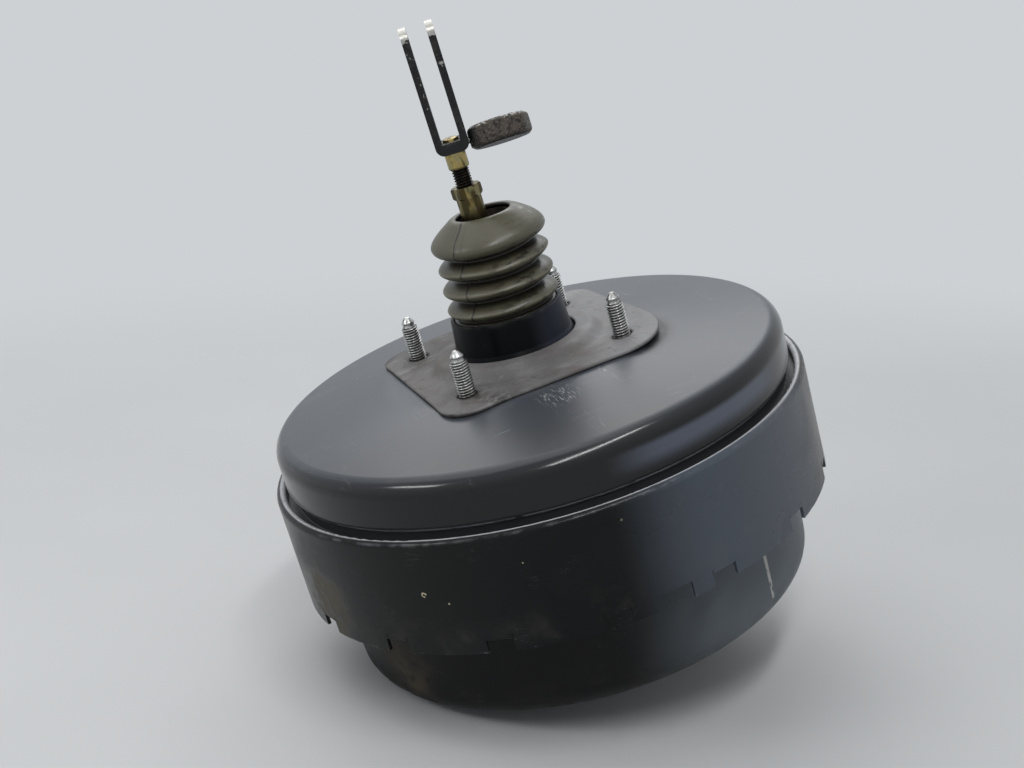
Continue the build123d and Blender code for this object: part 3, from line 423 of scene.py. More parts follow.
gasket_gauge = 1.6
gasket_left, gasket_right, gasket_front, gasket_back = 53.5, 57.0, 59.0, 60.0
gasket_corner, gasket_cut_corner, gasket_hole = 16.0, 28.0, 4.6
gasket_ring, gasket_mouth, gasket_rise = 42.0, 29.3, 4.7
gasket_diamond = 52.0
cone_start, cone_slope = 61.0, np.tan(np.radians(8.3))


def gasket_outline(count):
    """Points round the sheet's edge: straight sides joined by quarter circles, one of them larger, with a low
    bulge in the left side."""
    bends = [(gasket_right, gasket_back, gasket_corner), (-gasket_left, gasket_back, gasket_corner),
             (-gasket_left, -gasket_front, gasket_corner), (gasket_right, -gasket_front, gasket_cut_corner)]
    loop = []
    for turn, (x, y, bend) in enumerate(bends):
        angle = np.radians(90 * turn + np.linspace(0, 90, 24))
        centre = np.array([x - np.sign(x) * bend, y - np.sign(y) * bend])
        loop.append(centre + bend * np.stack([np.cos(angle), np.sin(angle)], -1))
    loop = np.vstack(loop + [loop[0][:1]])
    loop[:, 0] += 1.7 * np.exp(-((loop[:, 1] + 17.0) / 12.0) ** 2) * (loop[:, 0] < -50)
    length = np.concatenate([[0], np.cumsum(np.linalg.norm(np.diff(loop, axis=0), axis=1))])
    even = np.linspace(0, length[-1], count, endpoint=False)
    return np.stack([np.interp(even, length, loop[:, way]) for way in (0, 1)], -1)


def gasket_height(x, y):
    """Height of the sheet's upper face: a smooth rise inside the ring, then flat, then falling with the
    cone by a share that grows from right to left, with one lifted patch and slow waves at the edge."""
    radius = np.hypot(x, y)
    angle = np.arctan2(y, x)
    rise = np.clip((gasket_ring + 0.6 - radius) / 6.6, 0, 1)
    ring = gasket_rise * (rise * rise * (3 - 2 * rise))
    fall = np.clip(radius - cone_start, 0, None) * cone_slope
    limp = 0.5 - 0.5 * np.cos(angle)
    lift = np.exp(-((x - 57.0) ** 2 + (y + 18.0) ** 2) / 800.0) * 3.2
    edge = np.clip((radius - 44.0) / 20.0, 0, 1)
    waves = 0.16 * np.sin(5 * angle + 0.7) + 0.12 * np.sin(9 * angle + 2.0)
    return gasket_gauge + ring - 0.85 * limp * fall + edge * (lift + waves + 0.16)


def gasket_sheet():
    """Sheet in five patches. The middle one runs from the mouth's circle out to a diamond. Each quarter round
    a stud runs from the stud hole's circle out to the quarter's border, so the holes are true circles."""
    slide = np.linspace(0, 1, 33)[:, None]
    tips = gasket_diamond * np.array([[1, 0], [0, 1], [-1, 0], [0, -1], [1, 0]])
    sides = [tips[turn] * (1 - slide) + tips[turn + 1] * slide for turn in range(4)]
    diamond_loop = np.vstack([side[:-1] for side in sides])
    bearing = np.arctan2(diamond_loop[:, 1], diamond_loop[:, 0])
    mouth = gasket_mouth * np.stack([np.cos(bearing), np.sin(bearing)], -1)
    steps = np.linspace(0, 1, 18)[:, None, None]
    patches = [mouth * (1 - steps) + diamond_loop * steps]
    outline = gasket_outline(720)
    for turn, (sx, sy) in enumerate([(1, 1), (-1, 1), (-1, -1), (1, -1)]):
        inside = (outline[:, 0] * sx >= 0) & (outline[:, 1] * sy >= 0)
        arc = outline[inside]
        bearing = np.arctan2(arc[:, 1], arc[:, 0]) - turn * np.pi / 2
        arc = arc[np.argsort(np.mod(bearing + 0.1, 2 * np.pi))]
        reach = [np.abs(arc[0]).max(), np.abs(arc[-1]).max()]
        first = np.array([reach[0] * (sx, 0)[turn % 2], reach[0] * (0, sy)[turn % 2]])
        last = np.array([reach[1] * (0, sx)[turn % 2], reach[1] * (sy, 0)[turn % 2]])
        arc = np.vstack([first, arc, last])
        out = np.linspace(tips[turn], first, 6)[:-1]
        back = np.linspace(last, tips[turn + 1], 6)[:-1]
        border = np.vstack([out, arc, back, sides[turn][::-1][:-1]])
        centre = np.array([sx * stud_reach, sy * stud_reach])
        away = border - centre
        hole = centre + gasket_hole * away / np.linalg.norm(away, axis=1)[:, None]
        steps = np.linspace(0, 1, 14)[:, None, None]
        patches.append(hole * (1 - steps) + border * steps)
    return [np.dstack([patch, gasket_height(patch[..., 0], patch[..., 1])]) for patch in patches]


def gasket_fibre():
    """Grey-brown fibre: fine felted grain, oily blots, pale rubbed patches, a painted sheen towards the right
    end, and darker where the sheet lies lowest.
    """
    fibre = Finish("gasket_fibre", gloss=0.3)
    felt = fibre.cloud(0.7, 5.0)
    strands = fibre.either(fibre.hairlines(2.2, (5, 0.4, 1), 0.03, (0, 0, 0.7)),
                           fibre.hairlines(2.0, (0.4, 5, 1), 0.03, (0, 0, 0.4)))
    damp = fibre.patches(0.45, 0.66, 15.0, 4.0)
    rubbed = fibre.patches(0.53, 0.70, 11.0, 5.0, (2.0, 1, 1), shift=(5, 5, 0))
    oil = fibre.both(fibre.either(fibre.near((-38, -38, 2), 15.0, 0.6), fibre.near((-29, -56, 2), 11.0, 0.8)),
                     fibre.patches(0.36, 0.60, 4.0, 4.0))
    hole = fibre.either(*[fibre.share(fibre.apart((x, y, 1.0)), 6.6, 5.0)
                          for x, y, z in corners])
    creases = fibre.both(fibre.hairlines(13.0, (1, 1, 1), 0.010), fibre.share(fibre.radius, 44.0, 47.0))
    under = fibre.rise(0.9, 0.2)
    front = fibre.both(fibre.near((-8.0, -44.0, 2.0), 34.0, 0.9), fibre.patches(0.30, 0.55, 18.0, 4.0))
    fibre.ground(felt, (84, 82, 82), (121, 119, 118))
    fibre.coat(front, 0.42, 52, 54, 58)
    fibre.coat(strands, 0.10, 146, 142, 137)
    fibre.coat(damp, 0.40, 84, 74, 70)
    fibre.coat(rubbed, 0.45, 146, 146, 147)
    # Painted sheen: paler and glossier towards the right end.
    painted_sheen = fibre.share(fibre.ragged(fibre.x, 40.0, 24.0, 3.0), 26.0, 58.0)
    fibre.coat(painted_sheen, 0.40, 150, 151, 153)
    fibre.coat(fibre.either(oil, fibre.both(hole, 0.8)), 0.7, 34, 31, 29)
    fibre.coat(creases, 0.5, 50, 46, 43)
    # Darker where the sheet lies lowest: its underside, lower edge and the corners that follow the cone down.
    fibre.coat(under, 0.6, 40, 37, 35)
    roughness = fibre.level(fibre.either(oil, fibre.both(painted_sheen, 0.5)), 0.74, 0.42)
    grain = fibre.relief(felt, 0.10)
    return fibre.lay(roughness, fibre.grain(0.5, 12.0, 2.0, over=grain))


mounting_gasket = grid_mesh("fibre_gasket", *gasket_sheet(), smooth=50.0)
thickness = mounting_gasket.modifiers.new("thickness", "SOLIDIFY")
thickness.thickness = gasket_gauge * mm
thickness.offset = -1.0
fit(mounting_gasket, "mounting_gasket", "housing", gasket_fibre())


# --- Outer band ------------------------------------------------------------------------------
# Rolled steel band that clamps both shells and the centre plate. Its top edge is curled in over
# the rear flange, and lanced tabs under the front flange hold its notched lower edge.

def band_enamel():
    """Black enamel with a painted highlight on the curl, chips to pale primer, dust, a dried mud patch,
    painted reflection and sheen on the right, and painted light in the groove inside the curl.
    """
    enamel = Finish("band_enamel", gloss=0.20)
    curl = enamel.both(enamel.rise(-33.4, -32.4), enamel.share(enamel.radius, 125.4, 124.4),
                       enamel.patches(0.10, 0.50, 16.0, 4.0))
    inside = enamel.share(enamel.radius, 122.9, 122.5)
    corner = enamel.both(enamel.rise(-33.4, -32.2), enamel.share(enamel.radius, 125.6, 126.6),
                         enamel.patches(0.46, 0.70, 9.0, 5.0, shift=(3, 3, 3)))
    edge = enamel.both(enamel.rise(-83.2, -84.1), enamel.patches(0.54, 0.66, 5.0, 4.0))
    haze = enamel.patches(0.45, 0.72, 60.0, 4.0, (1, 1, 0.7))
    painted_sheen = enamel.facing((0.40, -0.92, 0), 108.0, 126.5)
    painted_right_sheen = enamel.facing((0.87, -0.50, 0), 84.0, 122.0)
    back = enamel.facing((-0.90, -0.44, 0), 92.0, 124.0)
    splash = enamel.ragged(enamel.apart((-123.0, -29.0, -68.0)), 42.0, 14.0, 5.0)
    mud = enamel.both(enamel.share(splash, 44.0, 24.0), enamel.patches(0.28, 0.56, 5.0, 5.0))
    dust = enamel.both(enamel.rise(-60.0, -84.0), enamel.patches(0.50, 0.72, 16.0, 5.0))
    chips = enamel.both(enamel.spots(0.4, (-91.6, -88.1, -55.3, 1.5), (22.0, 125.0, -58.0, 1.6),
                                     (-105.0, 71.4, -48.0, 1.8), (88.0, 91.6, -70.0, 1.3)),
                        enamel.patches(0.44, 0.52, 1.1, 3.0))
    dots = enamel.either(enamel.spots(0.3, (-84.0, -95.3, -59.8, 0.55), (-54.3, -114.8, -45.9, 0.4)),
                         enamel.both(enamel.near((-13.6, -126.3, -39.4), 0.7, 0.5), 0.4))
    dent = enamel.near((-15.0, -126.1, -38.9), 1.0, 0.6)
    pits = enamel.both(enamel.share(enamel.grains(8.0), 0.07, 0.04),
                       enamel.patches(0.56, 0.68, 40.0, 2.0, shift=(7, 3, 8)))
    lines = enamel.both(enamel.either(enamel.hairlines(10.0, (1, 1, 0.06), 0.008, (0.0, 0.1, 0.0)),
                                      enamel.hairlines(5.0, (5, 5, 0.3), 0.008, (0.12, 0.0, 0.0), (2, 5, 1))),
                        enamel.patches(0.58, 0.68, 22.0, 2.0, shift=(2, 8, 4)))
    enamel.ground(enamel.cloud(36.0, 4.0), (6, 9, 9), (10, 12, 13))
    enamel.coat(haze, 0.04, 96, 98, 100)
    # Painted reflection: a blue-grey sheen on the front-right of the band.
    enamel.coat(painted_sheen, 0.52, 100, 108, 120)
    # Painted sheen: the far right side of the band paler.
    enamel.coat(painted_right_sheen, 0.22, 108, 108, 110)
    enamel.coat(back, 0.02, 124, 118, 112)
    enamel.coat(dust, 0.10, 120, 114, 104)
    enamel.coat(lines, 0.22, 126, 126, 126)
    enamel.coat(mud, 0.66, 100, 94, 80)
    # Painted light: mid grey on the band's inner face in the groove, lifting it out of its shade.
    enamel.coat(inside, 0.9, 62, 63, 66)
    # Painted highlight: a near-white line along the top of the curl.
    enamel.coat(curl, 0.85, 206, 208, 212)
    enamel.coat(enamel.either(corner, edge), 0.42, 124, 126, 128)
    enamel.coat(pits, 0.5, 110, 104, 96)
    enamel.coat(enamel.either(chips, enamel.both(dots, 0.7)), 1, 186, 176, 150)
    enamel.coat(dent, 0.9, 8, 8, 8)
    roughness = enamel.level(enamel.either(mud, enamel.both(haze, 0.4), enamel.both(dust, 0.6)), 0.26, 0.66)
    peel = enamel.grain(0.006, 1.6, 1.0)
    rolled = enamel.grain(0.25, 34.0, 1.0, (1, 1, 2.5), over=peel)
    return enamel.lay(roughness, enamel.relief(enamel.either(mud, chips, dent), -0.10, rolled))


wear(band_enamel(), "outer_band")


# --- Front shell -----------------------------------------------------------------------------
# Deep bowl drawn from the same steel, clamped by its flange inside the band. The booster stands
# on its raised ring, so its foot is scraped and dirtier than the rest.

def front_shell_enamel():
    """Black enamel, duller than the band: road dirt low on the wall, a long chip, scrapes and a painted
    reflection on the right.
    """
    enamel = Finish("front_shell_enamel", gloss=0.22)
    low = enamel.rise(-108.0, -128.0)
    splash = enamel.ragged(enamel.apart((-102.0, -44.0, -106.0)), 40.0, 12.0, 5.0)
    dirt = enamel.both(enamel.share(splash, 42.0, 22.0), enamel.patches(0.30, 0.58, 6.0, 5.0))
    road = enamel.both(low, enamel.patches(0.40, 0.68, 12.0, 5.0))
    line = enamel.both(enamel.share(enamel.from_line(55.8, -95.7), 1.5, 0.6),
                       enamel.rise(-119.0, -117.0), enamel.rise(-93.0, -96.0),
                       enamel.patches(0.36, 0.46, 2.6, 3.0, (1, 1, 2.2)))
    foot = enamel.both(enamel.rise(-128.2, -128.7), enamel.patches(0.52, 0.76, 3.0, 6.0, (3.0, 1.0, 1.0)))
    lines = enamel.both(enamel.hairlines(7.0, (1, 1, 0.16), 0.010, (0.1, 0.3, 0.0)),
                        enamel.patches(0.56, 0.68, 24.0, 2.0, shift=(1, 4, 4)))
    painted_sheen = enamel.facing((0.62, -0.78, 0), 70.0, 108.0)
    enamel.ground(enamel.cloud(30.0, 4.0), (6, 7, 8), (11, 12, 12))
    # Painted reflection: a blue-grey sheen on the front-right of the bowl.
    enamel.coat(painted_sheen, 0.72, 102, 109, 115)
    enamel.coat(road, 0.10, 104, 98, 88)
    enamel.coat(lines, 0.28, 118, 118, 118)
    enamel.coat(dirt, 0.60, 88, 78, 66)
    enamel.coat(foot, 0.45, 104, 101, 98)
    enamel.coat(line, 0.85, 188, 186, 180)
    roughness = enamel.level(enamel.either(dirt, road, foot), 0.42, 0.72)
    peel = enamel.grain(0.014, 1.5, 2.0)
    return enamel.lay(roughness, enamel.relief(enamel.either(dirt, foot), 0.08, peel))


wear(front_shell_enamel(), "front_shell")


# --- Front stiffener and master-cylinder studs -----------------------------------------------
# Thick steel disc inside the bowl with two more M8 studs pressed through it. The master
# cylinder bolts to them, and the booster leans on their ends when it is set down.

front_stud_reach = 42.0


def front_stud_zinc():
    """Zinc gone grey, with brown road stain working out from the thread roots."""
    zinc = Finish("front_stud_zinc", metal=1.0)
    bloom = zinc.patches(0.42, 0.68, 3.0, 5.0)
    stain = zinc.patches(0.50, 0.68, 2.4, 5.0, shift=(2, 2, 9))
    zinc.ground(bloom, (186, 186, 182), (136, 136, 134))
    zinc.coat(stain, 0.6, 104, 82, 60)
    return zinc.lay(zinc.level(zinc.either(bloom, stain), 0.30, 0.58), zinc.grain(0.03, 0.5, 4.0))


front_stud = stud_points(low=124.0, face=128.8, tip=156.3) * (1, -1, -1)
front_studs = [front_stud + (0, front_stud_reach * side, 0) for side in (-1, 1)]
fit(grid_mesh("threaded_cylinder_studs", *front_studs), "cylinder_studs", "housing",
    front_stud_zinc())
wear(pressed_steel, "front_stiffener")


# --- Dust boot -------------------------------------------------------------------------------
# Moulded olive rubber bellows: a plug in the neck, three convolutions and a domed cap with an
# open mouth. A mould line runs down one side, and oil and dust lie in its grooves, which are darkened further
# as painted shade.

boot_seam = np.radians(-143.0)
boot_collar, boot_fold = 22.4, 9.8
boot_lean = 0.937, -0.349


def smooth_loop(corners, passes=3):
    """Closed outline with its corners cut: each pass swaps a corner for the quarter points beside it."""
    loop = np.array(corners, float)
    for _ in range(passes):
        after = np.roll(loop, -1, axis=0)
        loop = np.stack([0.75 * loop + 0.25 * after, 0.25 * loop + 0.75 * after], 1).reshape(-1, 2)
    return loop


def boot_outline():
    """The boot's section as (radius, height): outside up to the mouth, then back down the inside."""
    outer = [(24.3, 14.4), (24.3, 17.0), (24.3, 21.9), (23.6, 22.5)]
    inner = [(22.4, 14.4), (22.4, 22.5)]
    for fold in range(3):
        foot = boot_collar + boot_fold * fold
        outer += [(21.9, foot + 0.9), (24.0, foot + 1.9), (25.6, foot + 3.1), (26.2, foot + 4.2),
                  (26.1, foot + 4.9), (25.2, foot + 5.9), (23.4, foot + 7.2), (21.4, foot + 8.5),
                  (20.3, foot + 9.3), (20.3, foot + boot_fold)]
        inner += [(21.4, foot + 2.4), (23.6, foot + 3.9), (23.7, foot + 4.9), (21.8, foot + 6.6),
                  (18.4, foot + 9.4)]
    outer += [(20.9, 52.7), (23.4, 53.2), (25.8, 54.4), (26.8, 56.2), (26.7, 57.8), (25.6, 59.7),
              (23.4, 61.8), (20.9, 63.8), (18.6, 65.5), (16.8, 66.8), (15.2, 67.7), (14.0, 68.0),
              (12.9, 67.8), (12.5, 67.1), (12.6, 66.3)]
    inner += [(19.2, 53.9), (22.8, 55.2), (24.4, 56.9), (23.6, 58.6), (21.9, 60.6), (19.8, 62.8),
              (18.7, 64.4), (17.6, 65.3), (16.4, 66.0), (14.2, 66.1)]
    return smooth_loop(outer + inner[::-1], 2)


def boot_surface(sides=192):
    """The section turned about Z, then worked over: the upper part leans over to one side, convolutions sag
    by slow waves of the angle, walls ripple slightly, and a narrow groove is pressed in along the mould
    line."""
    section = boot_outline()
    turn = np.linspace(0, 2 * np.pi, sides, endpoint=False)
    radius = section[:, 0][:, None] * np.ones(sides)
    height = section[:, 1][:, None] * np.ones(sides)
    free = np.clip((height - 26.0) / 10.0, 0, 1) * np.clip((68.5 - height) / 6.0, 0.25, 1)
    lean_over = 1.5 * np.clip((height - 28.0) / 38.0, 0, 1)
    ripple = 0.20 * np.sin(2 * turn + 0.12 * height) + 0.10 * np.sin(5 * turn - 0.2 * height)
    radius = radius + free * ripple
    height = height + free * (0.34 * np.sin(turn + 0.9) + 0.22 * np.sin(3 * turn + 0.21 * height))
    off = np.angle(np.exp(1j * (turn - boot_seam - 0.016 * np.round((height - boot_collar) / boot_fold))))
    outward = np.clip((radius - 12.0) / 4.0, 0, 1)
    radius = radius - 0.38 * outward * np.exp(-(off * radius / 0.45) ** 2)
    across = [radius * way + shift * lean_over for way, shift in zip((np.cos(turn), np.sin(turn)), boot_lean)]
    return np.stack([*across, height], -1)


def boot_rubber():
    """Olive-grey rubber: chalky bloom and a painted highlight on the crests, grooves darkened by oil and
    painted shade, oil patches on the darker right side as painted shade, a dark mould line and a nick.
    """
    rubber = Finish("boot_rubber", gloss=0.55)
    fold = rubber.sums("MODULO", rubber.sums("SUBTRACT", rubber.z, boot_collar), boot_fold)
    groove = rubber.both(rubber.either(rubber.share(fold, 3.0, 1.0), rubber.share(fold, 6.0, 8.6)),
                         rubber.rise(56.0, 53.8))
    crest = rubber.both(rubber.share(fold, 3.2, 4.2), rubber.share(fold, 5.6, 4.8), rubber.rise(53.0, 51.0))
    oil = rubber.patches(0.46, 0.62, 5.0, 4.0, (1, 1, 0.35), shift=(5, 1, 2))
    oily_shaded_side = rubber.share(rubber.sums("ADD", rubber.x, rubber.sums("MULTIPLY", rubber.y, -0.8)), -6.0, 24.0)
    grime = rubber.patches(0.42, 0.68, 9.0, 4.0, (1, 1, 0.6))
    across = rubber.along((np.sin(boot_seam), -np.cos(boot_seam), 0))
    outward = rubber.along((np.cos(boot_seam), np.sin(boot_seam), 0))
    wander = rubber.sums("MULTIPLY", rubber.sums("SUBTRACT", rubber.cloud(9.0, 2.0), 0.5), 2.6)
    line = rubber.share(rubber.sums("ABSOLUTE", rubber.sums("ADD", across, wander)), 0.60, 0.22)
    seam = rubber.both(line, rubber.share(outward, 0.0, 4.0), rubber.patches(0.30, 0.44, 3.0, 2.0))
    nick = rubber.both(rubber.near((13.2, -11.4, 67.9), 2.6, 0.4), rubber.patches(0.42, 0.50, 0.9, 2.0))
    inside = rubber.share(rubber.from_line(1.4, -0.5), 13.4, 12.6)
    rubber.ground(rubber.cloud(12.0, 4.0), (66, 63, 48), (82, 79, 62))
    rubber.coat(grime, 0.35, 70, 65, 52)
    # Pale crests: chalky bloom and a painted highlight.
    rubber.coat(crest, 0.30, 124, 119, 98)
    # Dark grooves: oil, and painted shade under each crest.
    rubber.coat(groove, 0.90, 25, 22, 17)
    # Oil patches, gathered on the right and front side, which is darker there as painted shade.
    rubber.coat(rubber.both(oil, oily_shaded_side, rubber.rise(56.0, 53.5)), 0.70, 30, 27, 21)
    rubber.coat(rubber.either(seam, nick, inside), 0.88, 24, 22, 18)
    wetness = rubber.either(rubber.both(oil, oily_shaded_side), rubber.both(groove, 0.7))
    roughness = rubber.level(wetness, 0.40, 0.26)
    skin = rubber.grain(0.02, 0.6, 3.0)
    return rubber.lay(roughness, rubber.relief(seam, -0.25, skin))


dust_boot = grid_mesh("rubber_boot", boot_surface(), wrap_rows=True, smooth=60.0)
fit(dust_boot, "dust_boot", "housing", boot_rubber())
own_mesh(dust_boot)


# --- Input rod and its spring seat -----------------------------------------------------------
# Turned steel rod with a ball end in the valve plunger, a sleeve and a tapped hexagon. It is
# yellow zinc plated, and brown oil has crept up it from inside the boot.

rod_ball = np.array([0, 0, -10.0])
lean, fork_turn = np.radians(-1.75), np.radians(-15.8)
about_y = np.array([[np.cos(lean), 0, np.sin(lean)],
                    [0, 1, 0],
                    [-np.sin(lean), 0, np.cos(lean)]])
about_z = np.array([[np.cos(fork_turn), -np.sin(fork_turn), 0],
                    [np.sin(fork_turn), np.cos(fork_turn), 0],
                    [0, 0, 1]])
rod_turn = about_z @ about_y


def yellow_zinc():
    """Yellow chromate: gold to green iridescence, rubbed corners and dark oil towards the boot."""
    plate = Finish("yellow_zinc", metal=1.0)
    tint = plate.patches(0.36, 0.64, 6.0, 3.0, (1, 1, 2))
    rubbed = plate.patches(0.58, 0.72, 2.4, 5.0, shift=(1, 3, 3))
    oil = plate.both(plate.rise(80.0, 64.0), plate.patches(0.30, 0.56, 3.4, 4.0, (1, 1, 2)))
    stain = plate.patches(0.42, 0.56, 5.2, 4.0, (1, 1, 4), shift=(6, 2, 1))
    plate.ground(tint, (158, 136, 82), (136, 132, 94))
    plate.coat(rubbed, 0.5, 196, 192, 176)
    plate.coat(plate.either(oil, stain), 0.82, 44, 35, 22)
    roughness = plate.level(plate.either(oil, stain), 0.26, 0.40)
    return plate.lay(roughness, plate.grain(0.02, 0.7, 3.0, (4, 4, 1)))


rod_plate = yellow_zinc()
wear(rod_plate, "input_rod")
wear(pressed_steel, "spring_seat")


# --- Clevis shank ----------------------------------------------------------------------------
# M8 threaded stem screwed into the rod's hexagon, so that the pedal height can be set. The
# thread is black with oil, and the plain neck is yellow zinc, riveted over in the fork.

def along_rod(points):
    """Points given along the rod, from its ball, put in their place in the booster."""
    return points @ rod_turn.T + rod_ball


shank_outline = [(73.5, 0.0), (73.5, 3.2), (74.3, 4.0), (100.0, 4.0), (100.0, 4.6), (100.6, 4.8),
                 (107.6, 4.8), (107.6, 3.0), (112.6, 3.0), (112.6, 3.7), (113.6, 3.5), (114.0, 2.4),
                 (114.0, 0.0)]
shank_grid = threaded_bar(shank_outline, 75.0, 99.9, 0.70, stud_pitch)


def shank_finish():
    """Yellow zinc on the neck, black oil and grit all through the thread."""
    plate = Finish("shank_finish", metal=0.9)
    thread = plate.rise(91.2, 89.4)
    tint = plate.patches(0.38, 0.62, 5.0, 3.0, (1, 1, 2))
    grit = plate.patches(0.44, 0.62, 1.4, 4.0)
    stain = plate.patches(0.50, 0.64, 3.4, 5.0, (1, 1, 2.2), shift=(6, 2, 1))
    plate.ground(tint, (172, 150, 92), (150, 144, 104))
    plate.coat(stain, 0.7, 50, 42, 30)
    plate.coat(thread, 1, 30, 27, 24)
    plate.coat(plate.both(thread, grit), 0.5, 66, 58, 46)
    roughness = plate.level(plate.either(thread, stain), 0.26, 0.48)
    return plate.lay(roughness, plate.relief(grit, 0.04))


fit(grid_mesh("threaded_shank", along_rod(shank_grid)), "clevis_shank", "clevis",
    shank_finish())


# --- Clevis fork -----------------------------------------------------------------------------
# Steel strap folded into a narrow U and drilled for the pedal pin. It is dipped black, and the
# coating has been knocked off both ends down to bright metal.

def fork_dip():
    """Black dip, worn to bright steel at the tips and along the outer edges."""
    dip = Finish("fork_dip", gloss=0.3)
    ragged = dip.sums("MULTIPLY", dip.sums("SUBTRACT", dip.cloud(2.6, 4.0), 0.5), 6.0)
    tips = dip.share(dip.sums("ADD", dip.z, ragged), 149.4, 150.2)
    rubs = dip.both(dip.patches(0.62, 0.68, 3.0, 5.0), dip.rise(100.0, 130.0))
    scuffs = dip.patches(0.50, 0.72, 5.0, 5.0, shift=(2, 6, 3))
    bare = dip.either(tips, dip.both(rubs, 0.7))
    dip.ground(dip.cloud(5.0, 4.0), (13, 13, 14), (24, 24, 25))
    dip.coat(scuffs, 0.16, 86, 84, 80)
    metal = dip.layer(dip.cloud(1.8, 4.0), paint(150, 148, 142), paint(206, 204, 198))
    dip.colour = dip.layer(bare, dip.colour, metal)
    roughness = dip.level(bare, 0.42, 0.34)
    grain = dip.grain(0.03, 0.9, 3.0)
    return dip.lay(roughness, dip.relief(bare, -0.05, grain), bare)


wear(fork_dip(), "clevis_fork")


# --- Buffer disc and pin ---------------------------------------------------------------------
# Thick disc of granular rubber on a steel pin at the fork's foot, bevelled on both rims. Its
# skin has worn through to the crumb round its side, and its upper rim is chipped.

buffer_tilt = np.radians(14.0)
disc_middle = np.array([22.1, 0.0, 110.35])
disc_turn = rod_turn @ np.array([[1, 0, 0], [0, np.cos(buffer_tilt), np.sin(buffer_tilt)],
                                 [0, -np.sin(buffer_tilt), np.cos(buffer_tilt)]])


def buffer_surface():
    """Disc turned from (radius, height) points with rounded corners. The side is roughened by sums of sines
    of the angle and the height, and bites are taken out of the upper rim at a few angles."""
    section = [(0.0, -5.2), (4.0, -5.2), (8.0, -5.2), (11.6, -5.2), (12.4, -5.1), (13.2, -4.6), (13.9, -4.0),
               (14.25, -3.3), (14.3, -2.0), (14.3, -0.6), (14.3, 0.8), (14.3, 2.2), (14.25, 3.4), (13.9, 4.1),
               (13.2, 4.6), (12.4, 5.1), (11.6, 5.2), (8.0, 5.2), (4.0, 5.2), (0.0, 5.2)]
    even = np.linspace(0, len(section) - 1, 96)
    radius, height = (np.interp(even, np.arange(len(section)), way) for way in np.array(section).T)
    turn = np.linspace(0, 2 * np.pi, 150, endpoint=False)
    r, h, a = radius[:, None], height[:, None], turn[None, :]
    side = np.clip((r - 11.5) / 2.0, 0, 1)
    lumps = (0.07 * np.sin(21 * a + 2.1 * h) + 0.06 * np.sin(34 * a - 3.4 * h + 1.0)
             + 0.05 * np.sin(55 * a + 5.2 * h))
    dips = 0.10 * np.sin(3 * a + 0.5) + 0.08 * np.sin(7 * a + 1.9)
    worn = [(-1.9, 0.7, 0.05), (-1.2, 0.5, 0.07), (-0.75, 0.8, 0.05), (0.9, 0.6, 0.08), (2.4, 0.5, 0.06)]
    bites = sum(deep * np.exp(-((h - 4.4) / 0.7) ** 2 - (np.angle(np.exp(1j * (a - at))) / wide) ** 2)
                for at, deep, wide in worn)
    r = r * np.ones_like(a) - side * (0.16 + dips * 0.6 - lumps + bites)
    points = np.stack([r * np.cos(a), r * np.sin(a), h * np.ones_like(a) * 0.99], -1)
    return points @ disc_turn.T + along_rod(disc_middle)


def buffer_rubber():
    """Black skin next to the fork, grey-brown crumb round the side, pale chips along the upper rim and a
    paler upper face as painted highlight.
    """
    rubber = Finish("buffer_rubber", gloss=0.3)
    away = rubber.along(rod_turn[:, 0])
    up = rubber.sums("SUBTRACT", rubber.along(disc_turn[:, 2]),
                     float(along_rod(disc_middle) @ disc_turn[:, 2]))
    crumb = rubber.grains(0.9)
    clot = rubber.cloud(2.4, 5.0)
    skin = rubber.share(rubber.ragged(away, 6.0, 4.0, 3.0), 16.5, 13.0)
    side = rubber.both(rubber.share(rubber.sums("ABSOLUTE", up), 4.9, 4.2),
                       rubber.sums("SUBTRACT", 1.0, skin))
    far_end = rubber.share(rubber.ragged(away, 3.0, 3.0, 3.0), 33.5, 36.0)
    apart = rubber.apart(along_rod(disc_middle))
    square = rubber.sums("SUBTRACT", rubber.sums("MULTIPLY", apart, apart), rubber.sums("MULTIPLY", up, up))
    out = rubber.sums("SQRT", square)
    rim = rubber.both(rubber.share(up, 3.4, 4.2), rubber.share(out, 10.9, 12.5),
                      rubber.patches(0.46, 0.58, 1.5, 4.0),
                      rubber.patches(0.40, 0.55, 7.0, 2.0, shift=(2, 2, 2)))
    rubber.ground(rubber.cloud(4.0, 3.0), (26, 27, 27), (44, 44, 43))
    rubber.coat(rubber.both(side, rubber.share(clot, 0.34, 0.50)), 0.9, 78, 71, 65)
    rubber.coat(rubber.both(side, rubber.share(crumb, 0.5, 0.2)), 0.45, 110, 103, 96)
    rubber.coat(rubber.both(side, rubber.patches(0.54, 0.62, 1.6, 4.0, shift=(3, 3, 3))), 0.7, 40, 36, 33)
    rubber.coat(far_end, 0.6, 112, 110, 106)
    # Painted highlight: the upper bevel and face a little paler.
    rubber.coat(rubber.share(up, 4.3, 4.9), 0.3, 96, 96, 94)
    rubber.coat(rim, 0.8, 190, 188, 182)
    roughness = rubber.level(side, 0.42, 0.84)
    pitted = rubber.relief(crumb, 0.30)
    return rubber.lay(roughness, rubber.relief(clot, 0.30, pitted))


fit(grid_mesh("worn_buffer", buffer_surface(), smooth=70.0), "buffer", "clevis", buffer_rubber())
wear(pressed_steel, "buffer_pin")


# --- Guide ring and seals in the neck and the centre plate -----------------------------------
# Nylon bearing and rubber lip seals that the moving valve body slides in, each under a pressed
# steel ring. The same bead rubber makes the front rod seal and the check-valve grommet.

